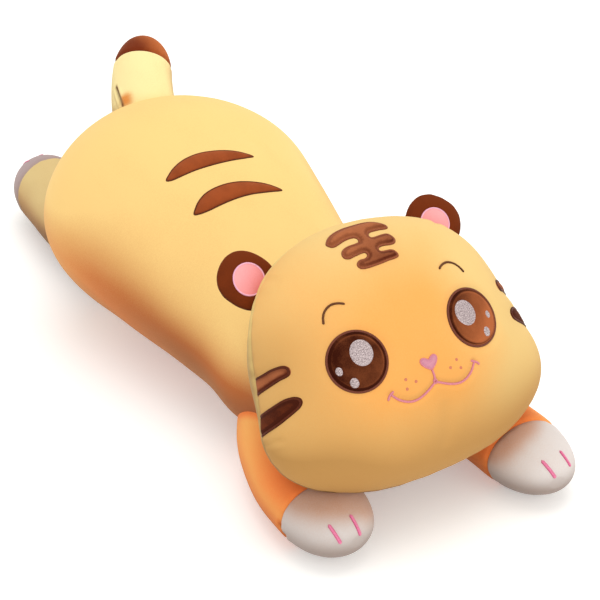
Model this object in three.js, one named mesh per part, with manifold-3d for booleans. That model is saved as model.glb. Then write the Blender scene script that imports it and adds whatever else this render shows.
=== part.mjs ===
// A stuffed toy tiger that lies on its belly with its legs stretched out.
// Millimetres, +Z up. The tiger faces -Y, its own left side is +X, and its belly lies on Z = 0.
// Soft forms are laid out from the neck joint, and the whole toy is centred on its length at the end.
import * as THREE from "three";
import { mergeVertices } from "three/addons/utils/BufferGeometryUtils.js";
import Module from "manifold-3d";

const wasm = await Module();
wasm.setup();

// Cloth, seams and play
const clothThickness = 2.4;
const seamGap = 0.3;
const seatClearance = 0.4;
const swingClearance = 1.6;
const patchThickness = 1.4;
const beddingDepth = 0.5;
const overrun = 30;

// Facets of the soft forms, round each and along each
const facets = {
  bodyRoundCount: 20,
  bodyLongCount: 5,
  headRoundCount: 24,
  headDeepCount: 10,
  limbRoundCount: 12,
  limbLongCount: 3,
  neckCapCount: 5,
  endCapCount: 4,
  rootCapCount: 3,
  socketRoundCount: 12,
  ballRoundCount: 10,
  neckRoundCount: 20,
  earRoundCount: 14,
  earDeepCount: 6,
  beadCount: 8,
  patchCount: 24,
  spotCount: 10,
  threadCount: 6,
  leafCount: 8,
};

// Torso, from the neck joint to the end of the rump
const body = {
  length: 550,
  halfWidth: 168,
  height: 253,
  rumpRounding: 206,
};
const rumpDroopShare = 0.06;
const bodyAlongShares = [0, 0.239, 0.523, 0.773, 1];
const bodyWidthShares = [0.583, 0.67, 0.86, 1, 0.965];
const bodyHeightShares = [0.593, 0.676, 0.891, 1, 1.063];
const neck = {
  halfWidth: body.halfWidth * bodyWidthShares[0],
  radius: (body.height * bodyHeightShares[0]) / 2,
};

// Head, about the middle of its face seam
const head = {
  halfWidth: 146.5,
  topHeight: 146,
  bottomHeight: 109,
  frontDepth: 72.6,
  backDepth: 98.5,
  forwardOfNeck: 90.8,
  aboveFloor: 138.9,
};
const headTopExponent = 2.56;
const headBottomExponent = 2.09;
const headTaperShare = 0.14;
const faceUpAngle = THREE.MathUtils.degToRad(35.3);
const headTiltAngle = THREE.MathUtils.degToRad(-2.5);

// Legs and tail: where each is rooted, where it bends to, where it ends, and how thick it is
const frontLeg = {
  rootInset: 36,
  rootBehindNeck: 49,
  rootUp: 46,
  rootRadius: 43,
  tipHalfWidth: 43,
  tipHalfHeight: 32,
  bendUp: 36,
  rightBendAside: 123,
  rightBendAhead: 43,
  rightTipAside: 99,
  rightTipAhead: 181,
  leftBendAside: 121,
  leftBendAhead: 48,
  leftTipAside: 107,
  leftTipAhead: 205,
};
const frontLegSeamShare = 0.795;
const frontLegRoundingShare = 0.28;
const frontLegExponent = 2.3;
const rearLeg = {
  rootInset: 105,
  rootBeforeRump: 68,
  rootUp: 56,
  rootRadius: 47,
  tipHalfWidth: 45.5,
  tipHalfHeight: 45,
  bendAside: 62,
  bendPastRump: 57,
  bendUp: 45.5,
  tipAside: 54,
  tipPastRump: 214,
};
const rearLegSeamShare = 0.83;
const rearLegRoundingShare = 0.24;
const rearLegExponent = 2;
const tail = {
  rootAside: 12,
  rootBeforeRump: 49,
  rootBelowBack: 47,
  rootRadius: 38,
  tipRadius: 36,
  bendAside: 27,
  bendBeforeRump: 8,
  bendBelowBack: 15,
  tipAside: 56,
  tipPastRump: 24,
  tipAboveBack: 12,
};
const tailSeamShare = 0.62;
const tailRoundingShare = 0.45;
const tailExponent = 2.1;
const rootBallShare = 0.92;

// Ears, each hinged on a sewn bead along its base
const ear = {
  halfWidth: 30,
  halfHeight: 30,
  frontDepth: 8,
  backDepth: 7,
  rise: 12.5,
  setBack: 14,
  beadRadius: 1.5,
  beadHalfLength: 24,
  tongueThickness: 2,
  tongueHeight: 6,
  liningRadius: 17,
};
const earExponent = 2.3;
const earAngle = THREE.MathUtils.degToRad(47);

// Swings of the sewn joints, in degrees from rest
const headNodDegrees = [-3, 10];
const frontLegSpreadDegrees = [0, 12.5, 25];
const rearLegSpreadDegrees = [-2, 22];
const tailWagDegrees = [-25, 0, 25];
const earFoldDegrees = [-20, 20];

// Face, as seen square to it: across from the middle and up from the face seam's middle
const eye = { across: 62.2, up: 16, halfWidth: 28.2, halfHeight: 28.8 };
const glint = { across: 56.4, up: 22, halfWidth: 12, halfHeight: 14.2 };
const outerGlint = { across: 80.1, up: 13.8, halfWidth: 3.7, halfHeight: 4.7 };
const lowerGlint = { across: 71.3, up: -0.4, halfWidth: 4.6, halfHeight: 5.2 };
const thread = { brow: 3, mouth: 2.8, toe: 3.6 };
const brow = { innerAcross: 51, innerUp: 68, crestAcross: 64, crestUp: 72, outerAcross: 76.5, outerUp: 57 };
const nose = { halfWidth: 8.4, up: -8.2, top: 6, bottom: 8, notch: 2.6 };
const mouth = {
  lipTop: -15,
  lipUp: -25.6,
  lowAcross: 25,
  lowUp: -36.4,
  endAcross: 45,
  endUp: -23.5,
  tickReach: 4.4,
  tickDrop: 3.8,
};
const whisker = {
  radius: 1.9,
  innerAcross: 18.6,
  innerUp: -19.9,
  upperAcross: 27.6,
  upperUp: -15.1,
  lowerAcross: 29.4,
  lowerUp: -23.7,
};
const mark = {
  barWidth: 9.4,
  spineWidth: 8.6,
  topUp: 125.5,
  topReach: 30,
  topArch: 5.5,
  middleUp: 110.5,
  middleReach: 24,
  middleArch: 3,
  bottomUp: 96,
  bottomReach: 17.5,
  bottomArch: 1.6,
};
const cheekStripe = {
  tipAcross: 122,
  tipRadius: 5.2,
  upperTipUp: 27.5,
  upperTopUp: 37,
  upperBottomUp: 15,
  lowerTipUp: -5,
  lowerTopUp: 1.6,
  lowerBottomUp: -21.5,
};

// Back stripes, and the toe lines of each foot
const backStripe = { halfLength: 54, tailwardRise: 14, headwardRise: 9, frontAt: 222.5, rearAt: 280 };
const leafExponent = 0.62;
const toe = { outerAside: 17, innerAside: -4, frontTop: 20, frontBottom: 5.5, rearTop: 41, rearBottom: 20 };

// Colours and roughness of the cloths and threads
const cloths = {
  plush: plushMaterial(0xfbd68a),
  face: plushMaterial(0xfcc578),
  brown: plushMaterial(0x9a4a24),
  darkBrown: plushMaterial(0x5a2408),
  white: plushMaterial(0xe4deda),
  pink: plushMaterial(0xffb0b4),
  rose: plushMaterial(0xde8fa8),
  silver: plushMaterial(0xc9bfc8),
  fibre: plushMaterial(0xf4f4f2),
};

function plushMaterial(color) {
  return new THREE.MeshStandardMaterial({ color, roughness: 0.9, metalness: 0 });
}

// Solids from geometry, and geometry from solids
function solidOf(geometry) {
  geometry.deleteAttribute("normal");
  geometry.deleteAttribute("uv");
  const merged = mergeVertices(geometry);
  return new wasm.Manifold(new wasm.Mesh({
    numProp: 3,
    vertProperties: merged.attributes.position.array,
    triVerts: Uint32Array.from(merged.index.array),
  }));
}

function geometryOf(solid) {
  const mesh = solid.getMesh();
  const geometry = new THREE.BufferGeometry();
  geometry.setAttribute("position", new THREE.BufferAttribute(mesh.vertProperties, 3));
  geometry.setIndex(new THREE.BufferAttribute(mesh.triVerts, 1));
  geometry.computeVertexNormals();
  return geometry;
}

function moved(solid, matrix) {
  return solid.transform(matrix.elements);
}

function boxSolid(from, to) {
  const size = new THREE.Vector3().subVectors(to, from);
  const middle = new THREE.Vector3().addVectors(from, to).divideScalar(2);
  return solidOf(new THREE.BoxGeometry(size.x, size.y, size.z).translate(middle.x, middle.y, middle.z));
}

// A closed skin through rings that are set one ahead of the other, grown along its normals
function skin(rings, grow) {
  const positions = [];
  const starts = rings.map((ring) => {
    const start = positions.length / 3;
    ring.forEach((point) => positions.push(point.x, point.y, point.z));
    return start;
  });
  const index = [];
  for (let i = 0; i + 1 < rings.length; i += 1) {
    const count = Math.max(rings[i].length, rings[i + 1].length);
    for (let j = 0; j < count; j += 1) {
      const near = [j, (j + 1) % count].map((k) => starts[i] + (rings[i].length > 1 ? k : 0));
      const far = [j, (j + 1) % count].map((k) => starts[i + 1] + (rings[i + 1].length > 1 ? k : 0));
      if (far[0] !== far[1]) index.push(near[0], far[0], far[1]);
      if (near[0] !== near[1]) index.push(near[0], far[1], near[1]);
    }
  }
  const geometry = new THREE.BufferGeometry();
  geometry.setAttribute("position", new THREE.Float32BufferAttribute(positions, 3));
  geometry.setIndex(index);
  geometry.computeVertexNormals();
  const { position, normal } = geometry.attributes;
  for (let i = 0; i < position.count; i += 1) {
    position.setXYZ(
      i,
      position.getX(i) + normal.getX(i) * grow,
      position.getY(i) + normal.getY(i) * grow,
      position.getZ(i) + normal.getZ(i) * grow,
    );
  }
  return solidOf(geometry);
}

function signedPower(value, power) {
  return Math.sign(value) * Math.abs(value) ** power;
}

function angles(count) {
  return Array.from({ length: count }, (_, i) => (2 * Math.PI * i) / count);
}

function steps(count) {
  return Array.from({ length: count + 1 }, (_, i) => i / count);
}

// A value read from a table of shares, along a smooth curve that starts level
function smoothRead(placeShares, valueShares, place) {
  const slope = (i) => (valueShares[i + 1] - valueShares[i]) / (placeShares[i + 1] - placeShares[i]);
  const last = placeShares.length - 1;
  let i = 0;
  while (i < last - 1 && place > placeShares[i + 1]) i += 1;
  const startSlope = i === 0 ? 0 : (slope(i - 1) + slope(i)) / 2;
  const endSlope = i + 1 === last ? slope(i) : (slope(i) + slope(i + 1)) / 2;
  const run = placeShares[i + 1] - placeShares[i];
  const t = (place - placeShares[i]) / run;
  const rise = valueShares[i + 1] - valueShares[i];
  const ease = 3 * t ** 2 - 2 * t ** 3;
  return valueShares[i] + rise * ease
    + run * (startSlope * (t ** 3 - 2 * t ** 2 + t) + endSlope * (t ** 3 - t ** 2));
}

// Torso: a round neck end, a swelling back and a rounded rump
function bodyForm(grow) {
  const ring = (along, halfWidth, halfHeight, middle) => angles(facets.bodyRoundCount).map((angle) => (
    new THREE.Vector3(
      halfWidth * Math.cos(angle),
      along,
      middle - beddingDepth + halfHeight * Math.sin(angle),
    )));
  const section = (along, squeeze) => {
    const halfWidth = body.halfWidth * smoothRead(bodyAlongShares, bodyWidthShares, along / body.length);
    const height = body.height * smoothRead(bodyAlongShares, bodyHeightShares, along / body.length);
    const middle = (height / 2) * (1 - rumpDroopShare * (1 - squeeze));
    return ring(along, halfWidth * squeeze, (height / 2) * squeeze, middle);
  };
  const straight = body.length - body.rumpRounding;
  const pole = (along, middle) => [new THREE.Vector3(0, along, middle - beddingDepth)];
  const rings = [pole(-neck.radius, neck.radius)];
  steps(facets.neckCapCount).slice(1, -1).forEach((step) => {
    const turn = (Math.PI / 2) * (1 - step);
    const squeeze = Math.cos(turn);
    rings.push(ring(
      -neck.radius * Math.sin(turn),
      neck.halfWidth * squeeze,
      neck.radius * squeeze,
      neck.radius,
    ));
  });
  steps(facets.bodyLongCount).forEach((step) => rings.push(section(straight * step, 1)));
  steps(facets.endCapCount).slice(1, -1).forEach((step) => {
    const turn = (Math.PI / 2) * step;
    rings.push(section(straight + body.rumpRounding * Math.sin(turn), Math.cos(turn)));
  });
  const rumpMiddle = (body.height * bodyHeightShares.at(-1) * (1 - rumpDroopShare)) / 2;
  rings.push(pole(body.length, rumpMiddle));
  return skin(rings, grow);
}

// A pillow with its own height and depth each way, from its front pole to its back pole
function pillowForm(size, round, deep, grow) {
  const rings = steps(deep).map((step) => {
    const slope = Math.PI * (step - 1 / 2);
    const depth = Math.sin(slope) * (slope < 0 ? size.frontDepth : size.backDepth);
    const spread = step === 0 || step === 1 ? 0 : Math.cos(slope);
    if (spread === 0) return [new THREE.Vector3(0, depth, 0)];
    return angles(round).map((angle) => {
      const exponent = Math.sin(angle) > 0 ? size.topExponent : size.bottomExponent;
      const upShare = signedPower(Math.sin(angle), 2 / exponent) * spread;
      const acrossShare = signedPower(Math.cos(angle), 2 / exponent) * spread;
      const height = upShare > 0 ? size.topHeight : size.bottomHeight;
      return new THREE.Vector3(
        size.halfWidth * acrossShare * (1 - size.taperShare * upShare),
        depth,
        height * upShare,
      );
    });
  });
  return skin(rings, grow);
}

const headShape = {
  ...head,
  topExponent: headTopExponent,
  bottomExponent: headBottomExponent,
  taperShare: headTaperShare,
};

function headForm(grow) {
  return pillowForm(headShape, facets.headRoundCount, facets.headDeepCount, grow);
}

const earShape = {
  ...ear,
  topHeight: ear.halfHeight,
  bottomHeight: ear.halfHeight,
  topExponent: earExponent,
  bottomExponent: earExponent,
  taperShare: 0,
};

function earForm(grow) {
  const raised = new THREE.Matrix4().makeTranslation(0, 0, ear.rise);
  return moved(pillowForm(earShape, facets.earRoundCount, facets.earDeepCount, grow), raised);
}

// A limb: a ball at its root, a bent tube and a blunt end
function limbFrame(limb, share) {
  const ahead = limb.curve.getTangent(share);
  const aside = new THREE.Vector3().crossVectors(ahead, limb.upward).normalize();
  return { middle: limb.curve.getPoint(share), ahead, aside, above: aside.clone().cross(ahead) };
}

function limbForm(limb, grow) {
  const ring = (frame, back, halfWidth, halfHeight) => angles(facets.limbRoundCount).map((angle) => (
    frame.middle.clone()
      .addScaledVector(frame.ahead, -back)
      .addScaledVector(frame.aside, halfWidth * Math.cos(angle))
      .addScaledVector(frame.above, halfHeight * Math.sin(angle))));
  const section = (share, squeeze) => ring(
    limbFrame(limb, share),
    0,
    THREE.MathUtils.lerp(limb.rootRadius, limb.tipHalfWidth, share) * squeeze,
    THREE.MathUtils.lerp(limb.rootRadius, limb.tipHalfHeight, share) * squeeze,
  );
  const rootFrame = limbFrame(limb, 0);
  const rings = [[rootFrame.middle.clone().addScaledVector(rootFrame.ahead, -limb.rootRadius)]];
  steps(facets.rootCapCount).slice(1, -1).forEach((step) => {
    const turn = (Math.PI / 2) * (1 - step);
    const radius = limb.rootRadius * Math.cos(turn);
    rings.push(ring(rootFrame, limb.rootRadius * Math.sin(turn), radius, radius));
  });
  const straightShare = 1 - limb.roundingShare;
  steps(facets.limbLongCount).forEach((step) => rings.push(section(straightShare * step, 1)));
  steps(facets.endCapCount).slice(1, -1).forEach((step) => {
    const turn = (Math.PI / 2) * step;
    const share = straightShare + limb.roundingShare * Math.sin(turn) ** (2 / limb.exponent);
    rings.push(section(share, Math.cos(turn) ** (2 / limb.exponent)));
  });
  rings.push([limb.curve.getPoint(1)]);
  return skin(rings, grow);
}

// A rounded seat whose flats stay outside the true ball or egg
function seatSolid(place, halfWidth, radius, round) {
  const flat = Math.cos(Math.PI / round) ** 2;
  const egg = new THREE.SphereGeometry(1 / flat, round, round / 2)
    .rotateZ(Math.PI / 2)
    .scale(halfWidth, radius, radius)
    .translate(place.x, place.y, place.z);
  return solidOf(egg);
}

function turnAbout(place, axis, degrees) {
  const turn = new THREE.Matrix4().makeRotationAxis(axis, THREE.MathUtils.degToRad(degrees));
  const back = new THREE.Matrix4().makeTranslation(place.x, place.y, place.z);
  const away = new THREE.Matrix4().makeTranslation(-place.x, -place.y, -place.z);
  return back.multiply(turn).multiply(away);
}

// A neighbour as the moving piece meets it over its swing
function sweptNeighbour(neighbour, place, axis, swing) {
  return swing
    .map((degrees) => moved(neighbour, turnAbout(place, axis, -degrees)))
    .reduce((joined, next) => joined.add(next));
}

// Frames of the head and the ears
const neckPlace = new THREE.Vector3(0, 0, neck.radius - beddingDepth);
const nodAxis = new THREE.Vector3(-1, 0, 0);
const headPlace = new THREE.Vector3(0, -head.forwardOfNeck, head.aboveFloor);
const headMatrix = new THREE.Matrix4()
  .makeRotationFromEuler(new THREE.Euler(-faceUpAngle, headTiltAngle, 0))
  .setPosition(headPlace);
const intoHead = headMatrix.clone().invert();

function earMatrix(side) {
  const depthShare = Math.sqrt(1 - (ear.setBack / head.backDepth) ** 2);
  const rim = (angle) => {
    const upShare = Math.sin(angle) ** (2 / headTopExponent) * depthShare;
    const acrossShare = Math.cos(angle) ** (2 / headTopExponent) * depthShare;
    return new THREE.Vector2(
      head.halfWidth * acrossShare * (1 - headTaperShare * upShare),
      head.topHeight * upShare,
    );
  };
  const step = earAngle / facets.headRoundCount;
  const along = rim(earAngle - step).sub(rim(earAngle + step));
  const lean = Math.atan2(-along.y, along.x);
  const base = rim(earAngle);
  return new THREE.Matrix4()
    .makeRotationY(side * lean)
    .setPosition(side * base.x, ear.setBack, base.y);
}

// Limbs of each side, +1 for the tiger's left and -1 for its right
function frontLegOf(side) {
  const isLeft = side > 0;
  const bendAside = isLeft ? frontLeg.leftBendAside : frontLeg.rightBendAside;
  const bendAhead = isLeft ? frontLeg.leftBendAhead : frontLeg.rightBendAhead;
  const tipAside = isLeft ? frontLeg.leftTipAside : frontLeg.rightTipAside;
  const tipAhead = isLeft ? frontLeg.leftTipAhead : frontLeg.rightTipAhead;
  return {
    ...frontLeg,
    side,
    curve: new THREE.QuadraticBezierCurve3(
      new THREE.Vector3(
        side * (neck.halfWidth - frontLeg.rootInset),
        frontLeg.rootBehindNeck,
        frontLeg.rootUp,
      ),
      new THREE.Vector3(side * bendAside, -bendAhead, frontLeg.bendUp),
      new THREE.Vector3(side * tipAside, -tipAhead, frontLeg.tipHalfHeight - beddingDepth),
    ),
    upward: new THREE.Vector3(0, 0, 1),
    axis: new THREE.Vector3(0, 0, side),
    swing: frontLegSpreadDegrees,
    seamShare: frontLegSeamShare,
    roundingShare: frontLegRoundingShare,
    exponent: frontLegExponent,
    facing: -1,
    toeTop: toe.frontTop,
    toeBottom: toe.frontBottom,
  };
}

function rearLegOf(side) {
  return {
    ...rearLeg,
    side,
    curve: new THREE.QuadraticBezierCurve3(
      new THREE.Vector3(
        side * (body.halfWidth - rearLeg.rootInset),
        body.length - rearLeg.rootBeforeRump,
        rearLeg.rootUp,
      ),
      new THREE.Vector3(side * rearLeg.bendAside, body.length + rearLeg.bendPastRump, rearLeg.bendUp),
      new THREE.Vector3(
        side * rearLeg.tipAside,
        body.length + rearLeg.tipPastRump,
        rearLeg.tipHalfHeight - beddingDepth,
      ),
    ),
    upward: new THREE.Vector3(0, 0, 1),
    axis: new THREE.Vector3(0, 0, -side),
    swing: rearLegSpreadDegrees,
    seamShare: rearLegSeamShare,
    roundingShare: rearLegRoundingShare,
    exponent: rearLegExponent,
    facing: 1,
    toeTop: toe.rearTop,
    toeBottom: toe.rearBottom,
  };
}

function tailLimb() {
  const root = new THREE.Vector3(
    tail.rootAside,
    body.length - tail.rootBeforeRump,
    body.height - tail.rootBelowBack,
  );
  const bend = new THREE.Vector3(
    tail.bendAside,
    body.length - tail.bendBeforeRump,
    body.height - tail.bendBelowBack,
  );
  const tip = new THREE.Vector3(
    tail.tipAside,
    body.length + tail.tipPastRump,
    body.height + tail.tipAboveBack,
  );
  const slope = tip.clone().sub(root).setX(0).normalize();
  const upright = new THREE.Vector3(0, -slope.z, slope.y);
  return {
    ...tail,
    curve: new THREE.QuadraticBezierCurve3(root, bend, tip),
    upward: upright,
    axis: upright,
    swing: tailWagDegrees,
    tipHalfWidth: tail.tipRadius,
    tipHalfHeight: tail.tipRadius,
    seamShare: tailSeamShare,
    roundingShare: tailRoundingShare,
    exponent: tailExponent,
  };
}

const limbs = {
  frontLegRight: frontLegOf(-1),
  frontLegLeft: frontLegOf(1),
  rearLegRight: rearLegOf(-1),
  rearLegLeft: rearLegOf(1),
  tail: tailLimb(),
};

function limbSocket(limb, clearance) {
  const radius = limb.rootRadius * rootBallShare + clearance;
  return seatSolid(limb.curve.getPoint(0), radius, radius, facets.socketRoundCount);
}

// The body as a limb meets it, less the ball that the limb keeps inside its seat
function bodyAroundLimb(limb, inset) {
  const root = limb.curve.getPoint(0);
  const radius = limb.rootRadius * rootBallShare - inset;
  const ball = new THREE.SphereGeometry(radius, facets.ballRoundCount, facets.ballRoundCount / 2)
    .translate(root.x, root.y, root.z);
  return sweptNeighbour(bodyForm(swingClearance + inset), root, limb.axis, limb.swing)
    .subtract(solidOf(ball));
}

// The head as a front leg meets it, with the head nodded down as far as it goes
function headAboveLimb(limb, inset) {
  const nodded = turnAbout(neckPlace, nodAxis, headNodDegrees[0]).multiply(headMatrix);
  const lowered = moved(headForm(swingClearance + inset), nodded);
  return sweptNeighbour(lowered, limb.curve.getPoint(0), limb.axis, limb.swing);
}

// Half the space ahead of or behind a limb's seam, half a seam gap short of it
function seamSide(limb, isTip) {
  const frame = limbFrame(limb, limb.seamShare);
  const reach = limb.tipHalfWidth + overrun;
  const length = limb.curve.getLength() + overrun;
  const side = isTip ? 1 : -1;
  const half = boxSolid(
    new THREE.Vector3(-reach, (seamGap / 2 + (isTip ? 0 : length)) * side, -reach),
    new THREE.Vector3(reach, (seamGap / 2 + (isTip ? length : 0)) * side, reach),
  );
  const place = new THREE.Matrix4()
    .makeBasis(frame.aside, frame.ahead, frame.above)
    .setPosition(frame.middle);
  return moved(half, place);
}

// The space under the face that the toy lies on
function floorSolid() {
  const reach = body.length + head.halfWidth + overrun;
  return boxSolid(new THREE.Vector3(-reach, -reach, -overrun), new THREE.Vector3(reach, reach, 0));
}

// Cover, tip cover and filling of a limb, each cut by the larger forms
function stuffLimb(limb, cutters) {
  const cut = (form, inset) => cutters.reduce((left, cutter) => left.subtract(cutter(limb, inset)), form);
  const outside = cut(limbForm(limb, 0), 0).subtract(floorSolid());
  const inside = cut(limbForm(limb, -clothThickness), clothThickness);
  const fillingInset = clothThickness + seamGap;
  const cover = outside.subtract(inside);
  return {
    sleeve: cover.intersect(seamSide(limb, false)),
    tip: cover.intersect(seamSide(limb, true)),
    filling: cut(limbForm(limb, -fillingInset), fillingInset),
  };
}

// Flat outlines. Each is a closed list of points.
function ellipseOutline(across, up, halfWidth, halfHeight, round) {
  return angles(round).map((angle) => (
    new THREE.Vector2(across + halfWidth * Math.cos(angle), up + halfHeight * Math.sin(angle))));
}

function threadOutline(points, width) {
  const line = points.length > 2 ? new THREE.SplineCurve(points) : new THREE.LineCurve(...points);
  const shares = steps(points.length > 2 ? facets.threadCount : 1);
  const sideAt = (share, sign) => {
    const tangent = line.getTangent(share);
    const outward = new THREE.Vector2(-tangent.y, tangent.x);
    return line.getPoint(share).addScaledVector(outward, (sign * width) / 2);
  };
  const endAt = (share, sign) => {
    const tangent = line.getTangent(share);
    const start = tangent.angle() + (sign > 0 ? -Math.PI / 2 : Math.PI / 2);
    return steps(facets.threadCount / 2).slice(1, -1).map((step) => (
      line.getPoint(share).add(new THREE.Vector2(1, 0).multiplyScalar(width / 2)
        .rotateAround(new THREE.Vector2(), start + Math.PI * step))));
  };
  return [
    ...shares.map((share) => sideAt(share, -1)),
    ...endAt(1, 1),
    ...shares.toReversed().map((share) => sideAt(share, 1)),
    ...endAt(0, -1),
  ];
}

function leafOutline(middleUp) {
  const along = steps(facets.leafCount).map((step) => Math.sin(Math.PI * (step - 1 / 2)));
  const edge = (share, rise) => new THREE.Vector2(
    backStripe.halfLength * share,
    middleUp + rise * Math.max(0, 1 - share ** 2) ** leafExponent,
  );
  return [
    ...along.map((share) => edge(share, -backStripe.headwardRise)),
    ...along.slice(1, -1).toReversed().map((share) => edge(share, backStripe.tailwardRise)),
  ];
}

function cheekOutline(side, tipUp, topUp, bottomUp) {
  const rimAcross = head.halfWidth + cheekStripe.tipRadius;
  const tip = steps(facets.threadCount).map((step) => {
    const turn = Math.PI * (1 / 2 + step);
    return new THREE.Vector2(
      cheekStripe.tipAcross + cheekStripe.tipRadius * Math.cos(turn),
      tipUp + cheekStripe.tipRadius * Math.sin(turn),
    );
  });
  const outline = [
    ...tip,
    new THREE.Vector2(rimAcross, bottomUp),
    new THREE.Vector2(rimAcross, topUp),
  ].map((point) => new THREE.Vector2(side * point.x, point.y));
  return side > 0 ? outline : outline.toReversed();
}

function noseOutline() {
  const shape = new THREE.Shape();
  const lobeTop = nose.up + nose.top + nose.notch;
  shape.moveTo(0, nose.up - nose.bottom);
  shape.quadraticCurveTo(nose.halfWidth, nose.up - nose.notch, nose.halfWidth, nose.up + nose.notch);
  shape.quadraticCurveTo(nose.halfWidth, lobeTop, nose.halfWidth / 2, lobeTop);
  shape.quadraticCurveTo(nose.notch, lobeTop, 0, nose.up + nose.top - nose.notch);
  shape.quadraticCurveTo(-nose.notch, lobeTop, -nose.halfWidth / 2, lobeTop);
  shape.quadraticCurveTo(-nose.halfWidth, lobeTop, -nose.halfWidth, nose.up + nose.notch);
  shape.quadraticCurveTo(-nose.halfWidth, nose.up - nose.notch, 0, nose.up - nose.bottom);
  return shape.getPoints(facets.threadCount / 2).slice(0, -1);
}

// Prisms of outlines: upward from a height, or toward the face's front from its seam
function uprightPrism(outline, fromHeight, toHeight) {
  const depth = toHeight - fromHeight;
  const prism = new THREE.ExtrudeGeometry(new THREE.Shape(outline), { depth, bevelEnabled: false });
  return solidOf(prism.translate(0, 0, fromHeight));
}

function frontPrism(outline, from, to) {
  const forward = new THREE.Matrix4().makeRotationX(Math.PI / 2);
  return moved(uprightPrism(outline, from, to), forward);
}

function facePrism(outline) {
  return frontPrism(outline, patchThickness, head.frontDepth + overrun);
}

// A sewn-on patch: the part of a thin skin over a form that a prism takes
function patchOn(form, prism, lift) {
  const skinAbove = form(lift + patchThickness).subtract(form(lift));
  return skinAbove.intersect(prism);
}

function facePatch(outlines, lift = seamGap) {
  const prism = outlines.map(facePrism).reduce((joined, next) => joined.add(next));
  return patchOn(headForm, prism, lift);
}

// The toy
const toy = new THREE.Group();
const headGroup = new THREE.Group();
headGroup.applyMatrix4(headMatrix);
toy.add(headGroup);

function addPiece(parent, name, solid, material) {
  const mesh = new THREE.Mesh(geometryOf(solid), material);
  mesh.name = name;
  parent.add(mesh);
}

function sideName(side) {
  return side > 0 ? "left" : "right";
}

function addBody() {
  const seats = Object.values(limbs).map((limb) => limbSocket(limb, seatClearance));
  const pierced = (solid) => seats.reduce((left, seat) => left.subtract(seat), solid);
  const outside = bodyForm(0).subtract(floorSolid());
  addPiece(toy, "body_cover", pierced(outside.subtract(bodyForm(-clothThickness))), cloths.plush);
  addPiece(toy, "body_filling", pierced(bodyForm(-clothThickness - seamGap)), cloths.fibre);
}

function addBackStripes() {
  const stripes = { back_stripe_front: backStripe.frontAt, back_stripe_rear: backStripe.rearAt };
  Object.entries(stripes).forEach(([name, at]) => {
    const prism = uprightPrism(leafOutline(at), body.height / 2, body.height + overrun);
    addPiece(toy, name, patchOn(bodyForm, prism, seamGap), cloths.brown);
  });
}

// The head's covers and filling, with the neck's seat and the ears' grooves
function neckSeat() {
  const swept = sweptNeighbour(bodyForm(seatClearance), neckPlace, nodAxis, headNodDegrees);
  const seat = seatSolid(
    neckPlace,
    neck.halfWidth + seatClearance,
    neck.radius + seatClearance,
    facets.neckRoundCount,
  );
  return moved(swept.add(seat), intoHead);
}

function earGroove(side) {
  const radius = (ear.beadRadius + seatClearance) / Math.cos(Math.PI / facets.beadCount);
  const length = (ear.beadHalfLength + seatClearance) * 2;
  const groove = new THREE.CylinderGeometry(radius, radius, length, facets.beadCount).rotateZ(Math.PI / 2);
  return moved(solidOf(groove), earMatrix(side));
}

function addHead() {
  const outside = headForm(0);
  const wall = outside.subtract(headForm(-clothThickness));
  const reach = head.halfWidth + head.topHeight + overrun;
  const behind = boxSolid(
    new THREE.Vector3(-reach, seamGap / 2, -reach),
    new THREE.Vector3(reach, reach, reach),
  );
  const before = boxSolid(
    new THREE.Vector3(-reach, -reach, -reach),
    new THREE.Vector3(reach, -seamGap / 2, reach),
  );
  const backPanel = wall.intersect(behind)
    .subtract(neckSeat())
    .subtract(earGroove(-1))
    .subtract(earGroove(1));
  addPiece(headGroup, "head_face_panel", wall.intersect(before), cloths.face);
  addPiece(headGroup, "head_back_panel", backPanel, cloths.plush);
  const filling = headForm(-clothThickness - seamGap).subtract(neckSeat());
  addPiece(headGroup, "head_filling", filling, cloths.fibre);
}

function addEye(side) {
  const onEye = seamGap * 2 + patchThickness;
  const addSpot = (name, part, round, lift, material) => {
    const outline = ellipseOutline(side * part.across, part.up, part.halfWidth, part.halfHeight, round);
    addPiece(headGroup, `${name}_${sideName(side)}`, facePatch([outline], lift), material);
  };
  addSpot("eye", eye, facets.patchCount, seamGap, cloths.darkBrown);
  addSpot("eye_glint", glint, facets.patchCount / 2, onEye, cloths.silver);
  addSpot("eye_glint_outer", outerGlint, facets.spotCount, onEye, cloths.silver);
  addSpot("eye_glint_lower", lowerGlint, facets.spotCount, onEye, cloths.silver);
}

function addBrow(side) {
  const line = [
    new THREE.Vector2(side * brow.innerAcross, brow.innerUp),
    new THREE.Vector2(side * brow.crestAcross, brow.crestUp),
    new THREE.Vector2(side * brow.outerAcross, brow.outerUp),
  ];
  const patch = facePatch([threadOutline(line, thread.brow)]);
  addPiece(headGroup, `brow_${sideName(side)}`, patch, cloths.darkBrown);
}

function addMuzzle() {
  addPiece(headGroup, "nose", facePatch([noseOutline()]), cloths.rose);
  const lip = new THREE.Vector2(0, mouth.lipUp);
  const lines = [[new THREE.Vector2(0, mouth.lipTop - thread.mouth), lip]];
  [-1, 1].forEach((side) => {
    const end = new THREE.Vector2(side * mouth.endAcross, mouth.endUp);
    lines.push([lip, new THREE.Vector2(side * mouth.lowAcross, mouth.lowUp), end]);
    lines.push([
      new THREE.Vector2(side * (mouth.endAcross - mouth.tickReach), mouth.endUp + mouth.tickDrop),
      new THREE.Vector2(side * (mouth.endAcross + mouth.tickReach), mouth.endUp - mouth.tickDrop),
    ]);
  });
  const outlines = lines.map((line) => threadOutline(line, thread.mouth));
  addPiece(headGroup, "mouth", facePatch(outlines), cloths.rose);
}

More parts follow.
